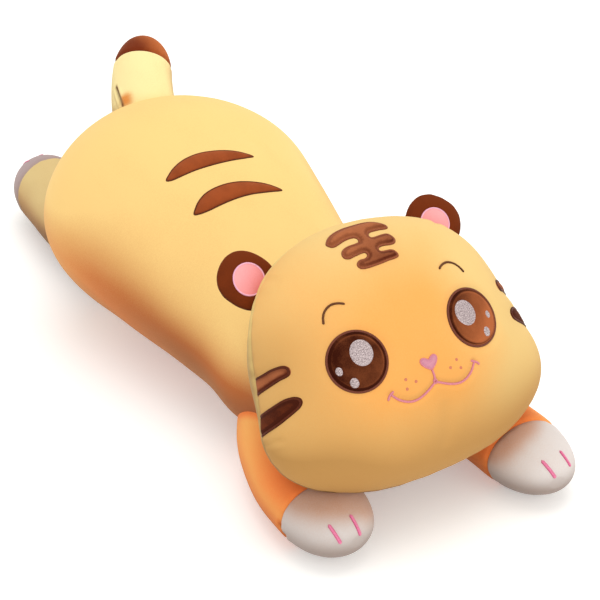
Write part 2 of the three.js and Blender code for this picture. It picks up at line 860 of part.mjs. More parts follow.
function addWhiskers(side) {
  const dots = {
    inner: [whisker.innerAcross, whisker.innerUp],
    upper: [whisker.upperAcross, whisker.upperUp],
    lower: [whisker.lowerAcross, whisker.lowerUp],
  };
  Object.entries(dots).forEach(([name, [across, up]]) => {
    const { radius } = whisker;
    const dot = ellipseOutline(side * across, up, radius, radius, facets.spotCount);
    addPiece(headGroup, `whisker_dot_${name}_${sideName(side)}`, facePatch([dot]), cloths.rose);
  });
}

function addForeheadMark() {
  const bar = (up, reach, arch) => threadOutline([
    new THREE.Vector2(-reach, up),
    new THREE.Vector2(0, up + arch),
    new THREE.Vector2(reach, up),
  ], mark.barWidth);
  const spine = threadOutline([
    new THREE.Vector2(0, mark.bottomUp + mark.bottomArch),
    new THREE.Vector2(0, mark.topUp + mark.topArch),
  ], mark.spineWidth);
  const bars = [
    bar(mark.topUp, mark.topReach, mark.topArch),
    bar(mark.middleUp, mark.middleReach, mark.middleArch),
    bar(mark.bottomUp, mark.bottomReach, mark.bottomArch),
  ];
  addPiece(headGroup, "forehead_mark", facePatch([...bars, spine]), cloths.brown);
}

function addCheekStripes(side) {
  const { upperTipUp, upperTopUp, upperBottomUp, lowerTipUp, lowerTopUp, lowerBottomUp } = cheekStripe;
  const upper = cheekOutline(side, upperTipUp, upperTopUp, upperBottomUp);
  const lower = cheekOutline(side, lowerTipUp, lowerTopUp, lowerBottomUp);
  addPiece(headGroup, `cheek_stripe_upper_${sideName(side)}`, facePatch([upper]), cloths.brown);
  addPiece(headGroup, `cheek_stripe_lower_${sideName(side)}`, facePatch([lower]), cloths.brown);
}

// An ear: a padded blade cut by the head over its fold, on a bead that turns in the head's groove
function addEar(side) {
  const matrix = earMatrix(side);
  const headSeen = moved(headForm(swingClearance), matrix.clone().invert());
  const headCut = sweptNeighbour(headSeen, new THREE.Vector3(), new THREE.Vector3(1, 0, 0), earFoldDegrees);
  const reach = ear.halfWidth + overrun;
  const above = boxSolid(new THREE.Vector3(-reach, -reach, 0), new THREE.Vector3(reach, reach, reach * 2));
  const bead = new THREE.CylinderGeometry(
    ear.beadRadius,
    ear.beadRadius,
    ear.beadHalfLength * 2,
    facets.beadCount,
  ).rotateZ(Math.PI / 2);
  const tongue = boxSolid(
    new THREE.Vector3(-ear.beadHalfLength, -ear.tongueThickness / 2, 0),
    new THREE.Vector3(ear.beadHalfLength, ear.tongueThickness / 2, ear.tongueHeight),
  );
  const blade = earForm(0).intersect(above).subtract(headCut).add(tongue).add(solidOf(bead));
  const disc = frontPrism(
    ellipseOutline(0, ear.rise, ear.liningRadius, ear.liningRadius, facets.patchCount / 2),
    0,
    ear.frontDepth + overrun,
  );
  const lining = patchOn(earForm, disc, seamGap).intersect(above).subtract(headCut);
  const group = new THREE.Group();
  group.applyMatrix4(matrix);
  headGroup.add(group);
  addPiece(group, `ear_${sideName(side)}`, blade, cloths.brown);
  addPiece(group, `ear_lining_${sideName(side)}`, lining, cloths.pink);
}

function addToeLines(limb, footName) {
  const tip = limb.curve.getPoint(1);
  const lines = { outer: toe.outerAside, inner: toe.innerAside };
  Object.entries(lines).forEach(([name, aside]) => {
    const across = tip.x + limb.side * aside;
    const outline = threadOutline([
      new THREE.Vector2(across, tip.z + limb.toeBottom),
      new THREE.Vector2(across, tip.z + limb.toeTop),
    ], thread.toe);
    const near = -limb.curve.getPoint(limb.seamShare).y;
    const far = -tip.y - limb.facing * overrun;
    const prism = frontPrism(outline, Math.min(near, far), Math.max(near, far));
    const line = patchOn((grow) => limbForm(limb, grow), prism, seamGap);
    addPiece(toy, `${footName}_toe_line_${name}`, line, cloths.pink);
  });
}

function addLeg(limb, legName, footName, cutters) {
  const { sleeve, tip, filling } = stuffLimb(limb, cutters);
  addPiece(toy, legName, sleeve, cloths.plush);
  addPiece(toy, footName, tip, cloths.white);
  addPiece(toy, `${legName}_filling`, filling, cloths.fibre);
  addToeLines(limb, footName);
}

function addTail() {
  const { sleeve, tip, filling } = stuffLimb(limbs.tail, [bodyAroundLimb]);
  addPiece(toy, "tail", sleeve, cloths.plush);
  addPiece(toy, "tail_tip", tip, cloths.brown);
  addPiece(toy, "tail_filling", filling, cloths.fibre);
}

addBody();
addBackStripes();
addHead();
addForeheadMark();
addMuzzle();
[-1, 1].forEach((side) => {
  addEye(side);
  addBrow(side);
  addWhiskers(side);
  addCheekStripes(side);
  addEar(side);
});
addLeg(limbs.frontLegRight, "front_leg_right", "front_paw_right", [bodyAroundLimb, headAboveLimb]);
addLeg(limbs.frontLegLeft, "front_leg_left", "front_paw_left", [bodyAroundLimb, headAboveLimb]);
addLeg(limbs.rearLegRight, "rear_leg_right", "rear_foot_right", [bodyAroundLimb]);
addLeg(limbs.rearLegLeft, "rear_leg_left", "rear_foot_left", [bodyAroundLimb]);
addTail();

// The middle of the toy's length goes to Y = 0
const reachAhead = Math.max(frontLeg.rightTipAhead, frontLeg.leftTipAhead);
toy.position.y = (reachAhead - body.length - rearLeg.tipPastRump) / 2;
toy.updateMatrixWorld(true);

export default toy;
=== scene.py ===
"""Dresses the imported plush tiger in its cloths, seams and threads, and lights it softly.

Lengths are millimetres in the row frame until a mesh is made, and a mesh is in metres.
The tiger faces -Y, its own left side is +X, and its belly lies on Z = 0.
"""

import logging
import math
from collections.abc import Callable, Sequence
from dataclasses import dataclass, field
from enum import Enum
from functools import partial

import bpy
import numpy as np
from mathutils import Matrix, Vector
from mathutils.bvhtree import BVHTree
from mathutils.geometry import delaunay_2d_cdt

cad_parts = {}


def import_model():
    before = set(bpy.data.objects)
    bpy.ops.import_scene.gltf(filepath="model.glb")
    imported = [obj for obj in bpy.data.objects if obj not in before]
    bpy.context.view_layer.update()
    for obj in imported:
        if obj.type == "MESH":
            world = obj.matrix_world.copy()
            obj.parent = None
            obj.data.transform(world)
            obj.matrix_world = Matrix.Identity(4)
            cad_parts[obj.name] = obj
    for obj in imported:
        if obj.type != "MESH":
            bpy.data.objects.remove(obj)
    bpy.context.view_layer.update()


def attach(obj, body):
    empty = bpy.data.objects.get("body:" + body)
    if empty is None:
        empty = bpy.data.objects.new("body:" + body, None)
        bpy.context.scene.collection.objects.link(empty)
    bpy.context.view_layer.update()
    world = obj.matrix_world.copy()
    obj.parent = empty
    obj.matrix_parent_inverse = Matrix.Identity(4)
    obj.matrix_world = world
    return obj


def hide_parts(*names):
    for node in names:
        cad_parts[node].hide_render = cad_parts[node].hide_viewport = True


LOG = logging.getLogger("tiger")
MM = 0.001
FULL_TURN = 2 * math.pi
NECK_AT = -279.5  # the neck joint's place along the row's Y
RUMP_AT = NECK_AT + 550
CLOTH_GIVE = 0.035  # how far stuffed plush stretches
CLOTH_PRESSURE = 4  # the air that stands for the filling
SWELL_FRAMES = 20  # how long the cloth swells
SWELL_SHARE, SWELL_LIMIT, SWELL_REST = 1.2, 2.6, 0.4  # what keeps the toy's size, in mm
SMOOTHING_ROUNDS = 10
LINE_STEP, LINE_WIDTH, LINE_HEIGHT = 0.8, 2.2, 1.0  # the face's stitched lines, in mm

Array = np.ndarray
Faces = list[list[int]]
Flat = tuple[float, float]
Knots = tuple[Flat, ...]
Place = tuple[float, float, float]
Placer = Callable[[Array], tuple[Array, Array]]
Adder = Callable[..., bpy.types.Node]


class Side(Enum):
    """The tiger's own sides, with the sign of X on each."""

    LEFT = 1
    RIGHT = -1

    @property
    def label(self) -> str:
        """The side's word in a piece's name."""
        return self.name.lower()


class Body(Enum):
    """The CAD bodies that pieces ride on."""

    TORSO = "torso"
    HEAD = "head"
    EAR = "ear"
    FRONT_LEG = "front_leg"
    REAR_LEG = "rear_leg"
    TAIL = "tail"

    def of(self, side: Side) -> str:
        """The body's name on one side."""
        return f"{self.value}_{side.label}"


# Small helpers for numbers, nodes and meshes


def linear(colour: str) -> tuple[float, float, float, float]:
    """Turns an sRGB hex colour to linear RGBA.

    Args:
        colour: Six hex digits after a hash sign.

    Returns:
        Red, green, blue and alpha, each from 0 to 1.
    """
    parts = [int(colour[i : i + 2], 16) / 255 for i in (1, 3, 5)]
    bent = [p / 12.92 if p <= 0.04045 else ((p + 0.055) / 1.055) ** 2.4 for p in parts]
    return (*bent, 1.0)


def add_node(
    tree: bpy.types.NodeTree, kind: str, inputs: dict[str | int, object] | None = None,
    **settings: object
) -> bpy.types.Node:
    """Adds a node with its settings, its values and its links.

    Args:
        tree: The node tree it goes into.
        kind: Blender's name of the node type, without its first word.
        inputs: For each socket a value, or a socket or a node to link from.
        **settings: Properties of the node.

    Returns:
        The new node.
    """
    node = tree.nodes.new(f"ShaderNode{kind}")
    for name, value in settings.items():
        setattr(node, name, value)
    for name, value in (inputs or {}).items():
        if isinstance(value, bpy.types.Node):
            value = value.outputs[0]
        if isinstance(value, bpy.types.NodeSocket):
            tree.links.new(value, node.inputs[name])
        else:
            node.inputs[name].default_value = value
    return node


def unit(vectors: Array) -> Array:
    """Vectors brought to a length of one."""
    lengths = np.linalg.norm(vectors, axis=-1, keepdims=True)
    return vectors / np.maximum(lengths, 1e-9)


def ease(values: Array | float, low: float, high: float) -> Array:
    """A smooth step of the values, from 0 at low to 1 at high."""
    t = np.clip((np.asarray(values, float) - low) / (high - low), 0, 1)
    return t * t * (3 - 2 * t)


def bell(values: Array | float, middle: float, width: float) -> Array:
    """A bell curve that is 1 at its middle and falls off over its width."""
    return np.exp(-(((values - middle) / width) ** 2))


def signed_power(values: Array, power: float) -> Array:
    """A power that keeps the sign."""
    return np.sign(values) * np.abs(values) ** power


def smooth_read(places: Sequence[float], values: Sequence[float], at: float) -> float:
    """Reads a table along a smooth curve that starts level.

    Args:
        places: Where the table's values lie, rising.
        values: The table's values.
        at: Where to read.

    Returns:
        The curve's value there.
    """
    last = len(places) - 1
    slopes = [(values[i + 1] - values[i]) / (places[i + 1] - places[i]) for i in range(last)]
    i = 0
    while i < last - 1 and at > places[i + 1]:
        i += 1
    start = 0.0 if i == 0 else (slopes[i - 1] + slopes[i]) / 2
    end = slopes[i] if i + 1 == last else (slopes[i] + slopes[i + 1]) / 2
    run = places[i + 1] - places[i]
    t = (at - places[i]) / run
    curve = (values[i + 1] - values[i]) * (3 * t**2 - 2 * t**3)
    return values[i] + curve + run * (start * (t**3 - 2 * t**2 + t) + end * (t**3 - t**2))


def waves(points: Array, length: float, seed: int) -> Array:
    """Soft seeded waves through space, as stuffing gives a cloth.

    Args:
        points: Places in millimetres, one in each row.
        length: About how far one wave reaches, in millimetres.
        seed: The seed of the random directions.

    Returns:
        A value from about -1 to 1 for each place.
    """
    random = np.random.default_rng(seed)
    total = np.zeros(points.shape[:-1])
    count = 7
    for _ in range(count):
        direction = unit(random.normal(size=3))
        stretch = random.uniform(0.7, 1.4)
        phase = random.uniform(0, FULL_TURN)
        total += np.sin(points @ direction * FULL_TURN / (length * stretch) + phase)
    return total / math.sqrt(count)


def spline_points(before: Array, start: Array, end: Array, beyond: Array) -> Array:
    """Points on the smooth pieces of a line, from each start towards its end.

    Args:
        before: The knots before the starts.
        start: Where the pieces start.
        end: Where they end.
        beyond: The knots after the ends.

    Returns:
        Twenty-four points for each piece, in order, without the ends.
    """
    t = np.linspace(0, 1, 24, endpoint=False)[:, None, None]
    curve = 0.5 * (
        2 * start + (end - before) * t + (2 * before - 5 * start + 4 * end - beyond) * t**2
        + (3 * start - before - 3 * end + beyond) * t**3
    )
    return curve.transpose(1, 0, 2).reshape(-1, 2)


def closed_spline(knots: Sequence[Flat], spacing: float) -> Array:
    """A smooth closed line through knots, with even steps.

    Args:
        knots: The points that it passes through.
        spacing: The length of a step.

    Returns:
        Its points, without the first one again at the end.
    """
    ring = np.array(knots, float)
    dense = spline_points(np.roll(ring, 1, 0), ring, np.roll(ring, -1, 0), np.roll(ring, -2, 0))
    return even_steps(np.vstack([dense, dense[:1]]), spacing)[:-1]


def open_spline(knots: Sequence[Flat], spacing: float) -> Array:
    """A smooth open line through knots, with even steps.

    Args:
        knots: The points that it passes through, two or more.
        spacing: The length of a step.

    Returns:
        Its points.
    """
    line = np.array(knots, float)
    padded = np.vstack([2 * line[0] - line[1], line, 2 * line[-1] - line[-2]])
    dense = spline_points(padded[:-3], padded[1:-2], padded[2:-1], padded[3:])
    return even_steps(np.vstack([dense, line[-1:]]), spacing)


def ellipse(middle: Sequence[float], half: Sequence[float], count: int = 20) -> list[Flat]:
    """Knots of an ellipse with half a width and half a height."""
    turns = np.linspace(0, FULL_TURN, count, endpoint=False)
    return [(middle[0] + half[0] * math.cos(t), middle[1] + half[1] * math.sin(t)) for t in turns]


def even_steps(line: Array, spacing: float) -> Array:
    """A line's points moved to even steps along it.

    Args:
        line: Points, one in each row.
        spacing: The wanted length of a step.

    Returns:
        The line with steps of nearly that length.
    """
    lengths = np.linalg.norm(np.diff(line, axis=0), axis=1)
    along = np.concatenate([[0], np.cumsum(lengths)])
    count = max(3, round(along[-1] / spacing))
    at = np.linspace(0, along[-1], count + 1)
    return np.stack([np.interp(at, along, line[:, k]) for k in range(line.shape[1])], 1)


def outline_distance(points: Array, outline: Array) -> Array:
    """How far points lie from a closed outline.

    Args:
        points: Flat points, one in each row.
        outline: The outline's points, in order.

    Returns:
        The distance of each point.
    """
    start, end = outline, np.roll(outline, -1, 0)
    run = end - start
    best = np.full(len(points), 1e9)
    for a, r in zip(start, run, strict=True):
        t = np.clip(((points - a) @ r) / max(r @ r, 1e-9), 0, 1)
        best = np.minimum(best, np.linalg.norm(points - a - t[:, None] * r, axis=1))
    return best


def inside_outline(points: Array, outline: Array) -> Array:
    """Which points lie inside a closed outline.

    Args:
        points: Flat points, one in each row.
        outline: The outline's points, in order.

    Returns:
        True for each point that lies inside.
    """
    x, y = points[:, 0], points[:, 1]
    inside = np.zeros(len(points), bool)
    for (x0, y0), (x1, y1) in zip(outline, np.roll(outline, -1, 0), strict=True):
        crosses = (y0 > y) != (y1 > y)
        rise = (y1 - y0) if y1 != y0 else 1e-9
        inside ^= crosses & (x < (x1 - x0) * (y - y0) / rise + x0)
    return inside


def inward(outline: Array, inset: float) -> Array:
    """A closed outline moved towards its inside.

    Args:
        outline: The outline's points, in order.
        inset: How far each point moves.

    Returns:
        The moved points.
    """
    tangent = unit(np.roll(outline, -1, 0) - np.roll(outline, 1, 0))
    area = np.sum(
        outline[:, 0] * np.roll(outline[:, 1], -1) - np.roll(outline[:, 0], -1) * outline[:, 1]
    )
    normal = np.stack([-tangent[:, 1], tangent[:, 0]], 1) * np.sign(area)
    return outline + normal * inset


def volume_of(points: Array, faces: Sequence[Sequence[int]]) -> float:
    """The volume that faces enclose.

    Args:
        points: The vertices.
        faces: The faces.

    Returns:
        The signed volume, positive where the faces point outward.
    """
    total = 0.0
    for face in faces:
        a = points[face[0]]
        for b, c in zip(face[1:], face[2:], strict=False):
            total += float(np.dot(a, np.cross(points[b], points[c])))
    return total / 6


def make_mesh(
    name: str, points: Array, faces: Sequence[Sequence[int]], corners: Array | None = None,
    tone: Array | None = None, hollow: Array | None = None
) -> bpy.types.Object:
    """Makes a smooth-shaded piece at the origin from points in millimetres.

    Args:
        name: The piece's name.
        points: Its vertices.
        faces: Its faces, all turned the same way.
        corners: A flat place for each vertex, kept as the UV map.
        tone: A share from 0 to 1 for each vertex that the colour reads, mostly painted shade.
        hollow: The painted shade at each vertex, from 0 to 1.

    Returns:
        The new object, linked to the scene.
    """
    if volume_of(points, faces) < 0:
        faces = [list(reversed(face)) for face in faces]
    mesh = bpy.data.meshes.new(name)
    mesh.from_pydata((points * MM).tolist(), [], [list(map(int, f)) for f in faces])
    mesh.polygons.foreach_set("use_smooth", [True] * len(mesh.polygons))
    if corners is not None:
        layer = mesh.uv_layers.new(name="Stitch")
        index = np.zeros(len(mesh.loops), np.int32)
        mesh.loops.foreach_get("vertex_index", index)
        layer.data.foreach_set("uv", corners[index].astype(np.float32).ravel())
    for label, given in (("tone", tone), ("hollow", hollow)):
        values = np.zeros(len(points)) if given is None else given
        layer = mesh.attributes.new(label, "FLOAT", "POINT")
        layer.data.foreach_set("value", values.astype(np.float32))
    mesh.validate()
    mesh.update()
    made = bpy.data.objects.new(name, mesh)
    bpy.context.scene.collection.objects.link(made)
    return made


# Finishes


@dataclass(frozen=True)
class Finish:
    """What a cloth, a thread or a table top looks like, as one procedural material."""

    name: str

    def material(self) -> bpy.types.Material:
        """Makes the material, once.

        Returns:
            The finish's material.
        """
        found = bpy.data.materials.get(self.name)
        if found:
            return found
        material = bpy.data.materials.new(self.name)
        material.use_nodes = True
        tree = material.node_tree
        tree.nodes.clear()
        shader = self._shader(partial(add_node, tree))
        add_node(tree, "OutputMaterial", {"Surface": shader})
        return material

    def _shader(self, add: Adder) -> bpy.types.Node:
        """Wires the finish's own nodes with add, and gives the shader."""
        raise NotImplementedError


@dataclass(frozen=True)
class PileFinish(Finish):
    """Warp-knitted polyester plush with a short cut pile, brushed one way.

    The eye sees a dull soft face with a pale bloom at its edges and faint patches where the
    pile leans. The tone attribute mixes the crown colour towards the shade colour, on most
    pieces as painted shade, and a second attribute mixes in the deep colour as painted shade
    in creases, beside other parts and where the cloth turns from the light.
    """

    # crown and shade are the two ends of the tone's mix; deep is the painted shade colour.
    crown: str
    shade: str
    bloom: str
    deep: str = "#6B3A1C"
    sheen: float = 0.22
    roughness: float = 0.85
    tuft: float = 1.3
    patch: float = 38.0
    relief: float = 0.5
    patch_depth: float = 0.08
    gloss: float = 0.2

    def _shader(self, add: Adder) -> bpy.types.Node:
        """Wires the finish's own nodes.

        Args:
            add: Adds a node to the material's tree.

        Returns:
            The shader node.
        """
        place = add("TexCoord").outputs["Object"]
        tone = add("Attribute", attribute_name="tone").outputs["Fac"]
        tufts = add(
            "TexNoise",
            {"Vector": place, "Scale": 1 / (self.tuft * MM), "Detail": 3.0, "Roughness": 0.6}
        )
        # The leaning pile's streaks are three times as long along the toy as across it.
        stretched = add("Mapping", {"Vector": place, "Scale": (1.0, 0.33, 1.0)})
        leaning = add(
            "TexNoise",
            {"Vector": stretched, "Scale": 1 / (self.patch * MM), "Detail": 2.0, "Roughness": 0.55}
        )
        lean_share = add(
            "MapRange",
            {
                "Value": leaning, "From Min": 0.3, "From Max": 0.7, "To Min": -self.patch_depth,
                "To Max": self.patch_depth
            }
        )
        gap_share = add(
            "MapRange",
            {"Value": tufts, "From Min": 0.35, "From Max": 0.65, "To Min": 0.07, "To Max": -0.05}
        )
        # The tone attribute, mostly painted shade, and the leaning pile's random patches.
        tone_and_lean = add("Math", {0: tone, 1: lean_share}, operation="ADD")
        shaded = add("Math", {0: tone_and_lean, 1: gap_share}, operation="ADD", use_clamp=True)
        colour = add(
            "Mix", {0: shaded, 6: linear(self.crown), 7: linear(self.shade)}, data_type="RGBA"
        )
        # A second attribute darkens the colour towards deep: painted shade.
        hollow = add("Attribute", attribute_name="hollow").outputs["Fac"]
        deepened = add(
            "Mix", {0: hollow, 6: colour.outputs[2], 7: linear(self.deep)}, data_type="RGBA"
        )
        lean_bump = add("Bump", {"Height": leaning, "Strength": 0.25, "Distance": 1.5 * MM})
        tuft_bump = add(
            "Bump",
            {"Height": tufts, "Strength": self.relief, "Distance": 0.5 * MM, "Normal": lean_bump}
        )
        return add(
            "BsdfPrincipled",
            {
                "Base Color": deepened.outputs[2], "Roughness": self.roughness, "IOR": 1.5,
                "Specular IOR Level": self.gloss, "Sheen Weight": self.sheen,
                "Sheen Roughness": 0.45, "Sheen Tint": linear(self.bloom), "Normal": tuft_bump
            }
        )


@dataclass(frozen=True)
class VelboaFinish(PileFinish):
    """Velboa, a thin warp-knitted velour with a dense pile of one millimetre.

    The eye sees a deep colour with hardly any bloom, and shades where the pile leans.
    """

    sheen: float = 0.14
    tuft: float = 1.0
    patch: float = 16.0
    patch_depth: float = 0.14
    gloss: float = 0.12


@dataclass(frozen=True)
class SatinFinish(Finish):
    """Rayon embroidery thread laid side by side across a line.

    The eye sees a soft gloss broken into fine ribs. Real thread is 0.4 mm wide, which is
    too fine to show here, so the ribs are drawn about twice as wide.
    """

    light: str
    dark: str
    rib: float = 0.8
    roughness: float = 0.5
    sheen: float = 0.04
    gloss: float = 0.3

    def _shader(self, add: Adder) -> bpy.types.Node:
        """Wires the finish's own nodes.

        Args:
            add: Adds a node to the material's tree.

        Returns:
            The shader node.
        """
        stitch = add("UVMap", uv_map="Stitch").outputs[0]
        # The tone attribute is a painted shade on a bead's flanks.
        side_shade = add("Attribute", attribute_name="tone").outputs["Fac"]
        apart = add("SeparateXYZ", {0: stitch})
        jitter = add("TexNoise", {"Vector": stitch, "Scale": 0.9, "Detail": 2.0})
        turn = add("Math", {0: apart, 1: FULL_TURN / self.rib}, operation="MULTIPLY")
        moved = add("Math", {0: jitter, 1: 5.0, 2: turn}, operation="MULTIPLY_ADD")
        rib = add("Math", {0: moved}, operation="SINE")
        share = add("MapRange", {"Value": rib, "From Min": -1.0, "From Max": 1.0})
        lit = add("Math", {0: share, 1: side_shade}, operation="SUBTRACT", use_clamp=True)
        colour = add(
            "Mix", {0: lit, 6: linear(self.dark), 7: linear(self.light)}, data_type="RGBA"
        )
        bump = add("Bump", {"Height": share, "Strength": 0.5, "Distance": 0.3 * MM})
        return add(
            "BsdfPrincipled",
            {
                "Base Color": colour.outputs[2], "Roughness": self.roughness, "IOR": 1.5,
                "Specular IOR Level": self.gloss, "Sheen Weight": self.sheen,
                "Sheen Roughness": 0.3, "Normal": bump
            }
        )


@dataclass(frozen=True)
class ZigzagFinish(Finish):
    """Metallised polyester thread sewn to and fro in a dense zigzag fill.

    The eye sees a pale speckled shimmer, with short bright and dull threads side by side.
    """

    light: str
    dark: str
    row: float = 1.9
    zig: float = 1.6

    def _shader(self, add: Adder) -> bpy.types.Node:
        """Wires the finish's own nodes.

        Args:
            add: Adds a node to the material's tree.

        Returns:
            The shader node.
        """
        stitch = add("UVMap", uv_map="Stitch").outputs[0]
        apart = add("SeparateXYZ", {0: stitch})
        folded = add("Math", {0: apart, 1: self.zig}, operation="PINGPONG")
        speckle = add("TexNoise", {"Vector": stitch, "Scale": 0.75, "Detail": 3.0})
        slant = add("Math", {0: apart.outputs[1], 1: folded}, operation="ADD")
        strayed = add("Math", {0: speckle, 1: 2.6, 2: slant}, operation="MULTIPLY_ADD")
        turn = add("Math", {0: strayed, 1: FULL_TURN / self.row}, operation="MULTIPLY")
        ridge = add("Math", {0: turn}, operation="SINE")
        share = add("MapRange", {"Value": ridge, "From Min": -0.7, "From Max": 0.5})
        glitter = add("TexNoise", {"Vector": stitch, "Scale": 0.85, "Detail": 1.0})
        flicker = add("Math", {0: glitter, 1: 2.6, 2: -1.0}, operation="MULTIPLY_ADD")
        level = add(
            "Math", {0: share, 1: 0.35, 2: flicker}, operation="MULTIPLY_ADD", use_clamp=True
        )
        colour = add(
            "Mix", {0: level, 6: linear(self.dark), 7: linear(self.light)}, data_type="RGBA"
        )
        bump = add("Bump", {"Height": level, "Strength": 0.45, "Distance": 0.3 * MM})
        return add(
            "BsdfPrincipled",
            {
                "Base Color": colour.outputs[2], "Metallic": 0.25, "Roughness": 0.4, "IOR": 1.5,
                "Normal": bump
            }
        )


@dataclass(frozen=True)
class LightTableFinish(Finish):
    """Opal acrylic of a photographer's light table, lit softly from below.

    The eye sees an even matt white, with only faint shadows under the toy.
    """

    name: str = "opal acrylic"
    colour: str = "#F7F7F5"
    grain: float = 3.0
    glow: float = 0.3

    def _shader(self, add: Adder) -> bpy.types.Node:
        """Wires the finish's own nodes.

        Args:
            add: Adds a node to the material's tree.

        Returns:
            The shader node.
        """
        place = add("TexCoord").outputs["Object"]
        grain = add("TexNoise", {"Vector": place, "Scale": 1 / (self.grain * MM)})
        bump = add("Bump", {"Height": grain, "Strength": 0.05, "Distance": 0.1 * MM})
        return add(
            "BsdfPrincipled",
            {
                "Base Color": linear(self.colour), "Roughness": 0.95, "Specular IOR Level": 0.1,
                "Emission Color": (1.0, 1.0, 1.0, 1.0), "Emission Strength": self.glow,
                "Normal": bump
            }
        )


@dataclass(frozen=True)
class Wardrobe:
    """All the cloths and threads of the toy."""

    # Each shade colour is mixed in as painted shade, the legs' also as painted bounce light and
    # the face's as its straw rim with painted light; each deep colour is painted shade.
    body_plush: PileFinish = PileFinish(
        "short plush yellow", crown="#FBD285", shade="#CC6C2A", bloom="#FFE9B0", deep="#845030",
        patch=60.0, patch_depth=0.05
    )
    leg_plush: PileFinish = PileFinish(
        "short plush orange", crown="#F8BC68", shade="#FA8440", bloom="#FFD090", deep="#8E4C22"
    )
    face_plush: PileFinish = PileFinish(
        "short plush apricot", crown="#F6AD5A", shade="#EBC882", bloom="#FFDDA0", deep="#B4864A",
        sheen=0.2, patch_depth=0.05
    )
    back_plush: PileFinish = PileFinish(
        "short plush straw", crown="#EFD085", shade="#B08648", bloom="#FFE8B0"
    )
    rear_plush: PileFinish = PileFinish(
        "short plush sand", crown="#DDC286", shade="#A9713F", bloom="#FFE8B8", deep="#6C4022"
    )
    tail_plush: PileFinish = PileFinish(
        "short plush pale yellow", crown="#FBE8A8", shade="#E08A3C", bloom="#FFF4C8",
        deep="#5A2004", sheen=0.25
    )
    white_plush: PileFinish = PileFinish(
        "short plush white", crown="#DCD4D0", shade="#CC9C80", bloom="#FFFFFF", deep="#94847C",
        sheen=0.15
    )
    # A darker copy of the white plush: painted shade on the rear feet.
    foot_plush: PileFinish = PileFinish(
        "short plush greyed white", crown="#BCA6A8", shade="#A08888", bloom="#F0E8F0",
        deep="#8C7866", sheen=0.15
    )
    mark_velvet: VelboaFinish = VelboaFinish(
        "velboa rust", crown="#B46A42", shade="#571F0C", bloom="#D8A080", patch_depth=0.1
    )
    stripe_velvet: VelboaFinish = VelboaFinish(
        "velboa brown", crown="#A04D24", shade="#421404", bloom="#D08C60", patch=14.0
    )
    tip_velvet: VelboaFinish = VelboaFinish(
        "velboa chestnut", crown="#B8622F", shade="#742C0E", bloom="#E0A070", sheen=0.2, patch=20.0
    )
    ear_velvet: VelboaFinish = VelboaFinish(
        "velboa dark chestnut", crown="#702E0E", shade="#451804", bloom="#B87850", sheen=0.12,
        patch=18.0, patch_depth=0.2, gloss=0.1
    )
    eye_velvet: VelboaFinish = VelboaFinish(
        "velboa umber", crown="#B06238", shade="#380F02", bloom="#A86038", sheen=0.04, tuft=0.9,
        patch_depth=0.12, gloss=0.08
    )
    lining: PileFinish = PileFinish(
        "crystal velvet pink", crown="#FAB0B4", shade="#E87A7A", bloom="#FFE0E6", sheen=0.25,
        tuft=0.8, patch=20.0
    )
    brown_thread: SatinFinish = SatinFinish(
        "rayon thread brown", light="#723219", dark="#3A1204", sheen=0.0, gloss=0.12
    )
    umber_thread: SatinFinish = SatinFinish(
        "rayon thread umber", light="#8C4A36", dark="#52220F", sheen=0.0, gloss=0.25
    )
    mark_thread: SatinFinish = SatinFinish(
        "rayon thread rust", light="#B46A44", dark="#743218", sheen=0.0, gloss=0.2
    )
    dot_thread: SatinFinish = SatinFinish(
        "rayon thread coral", light="#E69A80", dark="#D58062", gloss=0.1
    )
    brow_thread: SatinFinish = SatinFinish(
        "rayon thread dark umber", light="#85502C", dark="#43200C", sheen=0.0, gloss=0.2
    )
    rose_thread: SatinFinish = SatinFinish("rayon thread rose", light="#EC9AA4", dark="#C87080")
    heart_thread: SatinFinish = SatinFinish(
        "rayon thread lilac rose", light="#E49CAC", dark="#C68096", rib=1.1
    )
    toe_thread: SatinFinish = SatinFinish("rayon thread pink", light="#FBA6C4", dark="#D4487E")
    rim_thread: SatinFinish = SatinFinish(
        "rayon thread pale pink", light="#FFD3E2", dark="#F0A4C4"
    )
    silver_thread: ZigzagFinish = ZigzagFinish(
        "metallised thread silver", light="#D4C4C4", dark="#867476"
    )


# Stuffed forms


@dataclass
class Crease:
    """A fold that a seam or a bend pulls into the cloth.

    A point's distance to the line from start to end sets how deep it sinks.
    """

    start: Sequence[float]
    end: Sequence[float]
    depth: float
    width: float
    ridge: float = 0.35

    def _away(self, points: Array) -> tuple[Array, Array]:
        """Reads points against the fold's line.

        Args:
            points: Places in millimetres.

        Returns:
            Their shares along the fold, and their distances to it in fold widths.
        """
        start, run = np.array(self.start, float), np.subtract(self.end, self.start)
        t = np.clip(((points - start) @ run) / (run @ run), 0, 1)
        return t, np.linalg.norm(points - start - t[..., None] * run, axis=-1) / self.width

    def drop(self, points: Array) -> Array:
        """How far the fold moves each point along its normal.

        Args:
            points: Places in millimetres.

        Returns:
            The move, negative in the fold and positive on its lips.
        """
        t, away = self._away(points)
        taper = 1 - 0.75 * np.abs(2 * t - 1) ** 2
        fold = bell(away, 0, 1) - self.ridge * bell(away, 2, 1)
        return -self.depth * taper * fold

    def stain(self, points: Array) -> Array:
        """The painted shade in and beside the fold, from 0 to 1."""
        _, away = self._away(points)
        return bell(away, 0, 0.75) * min(1.0, self.depth / 3)


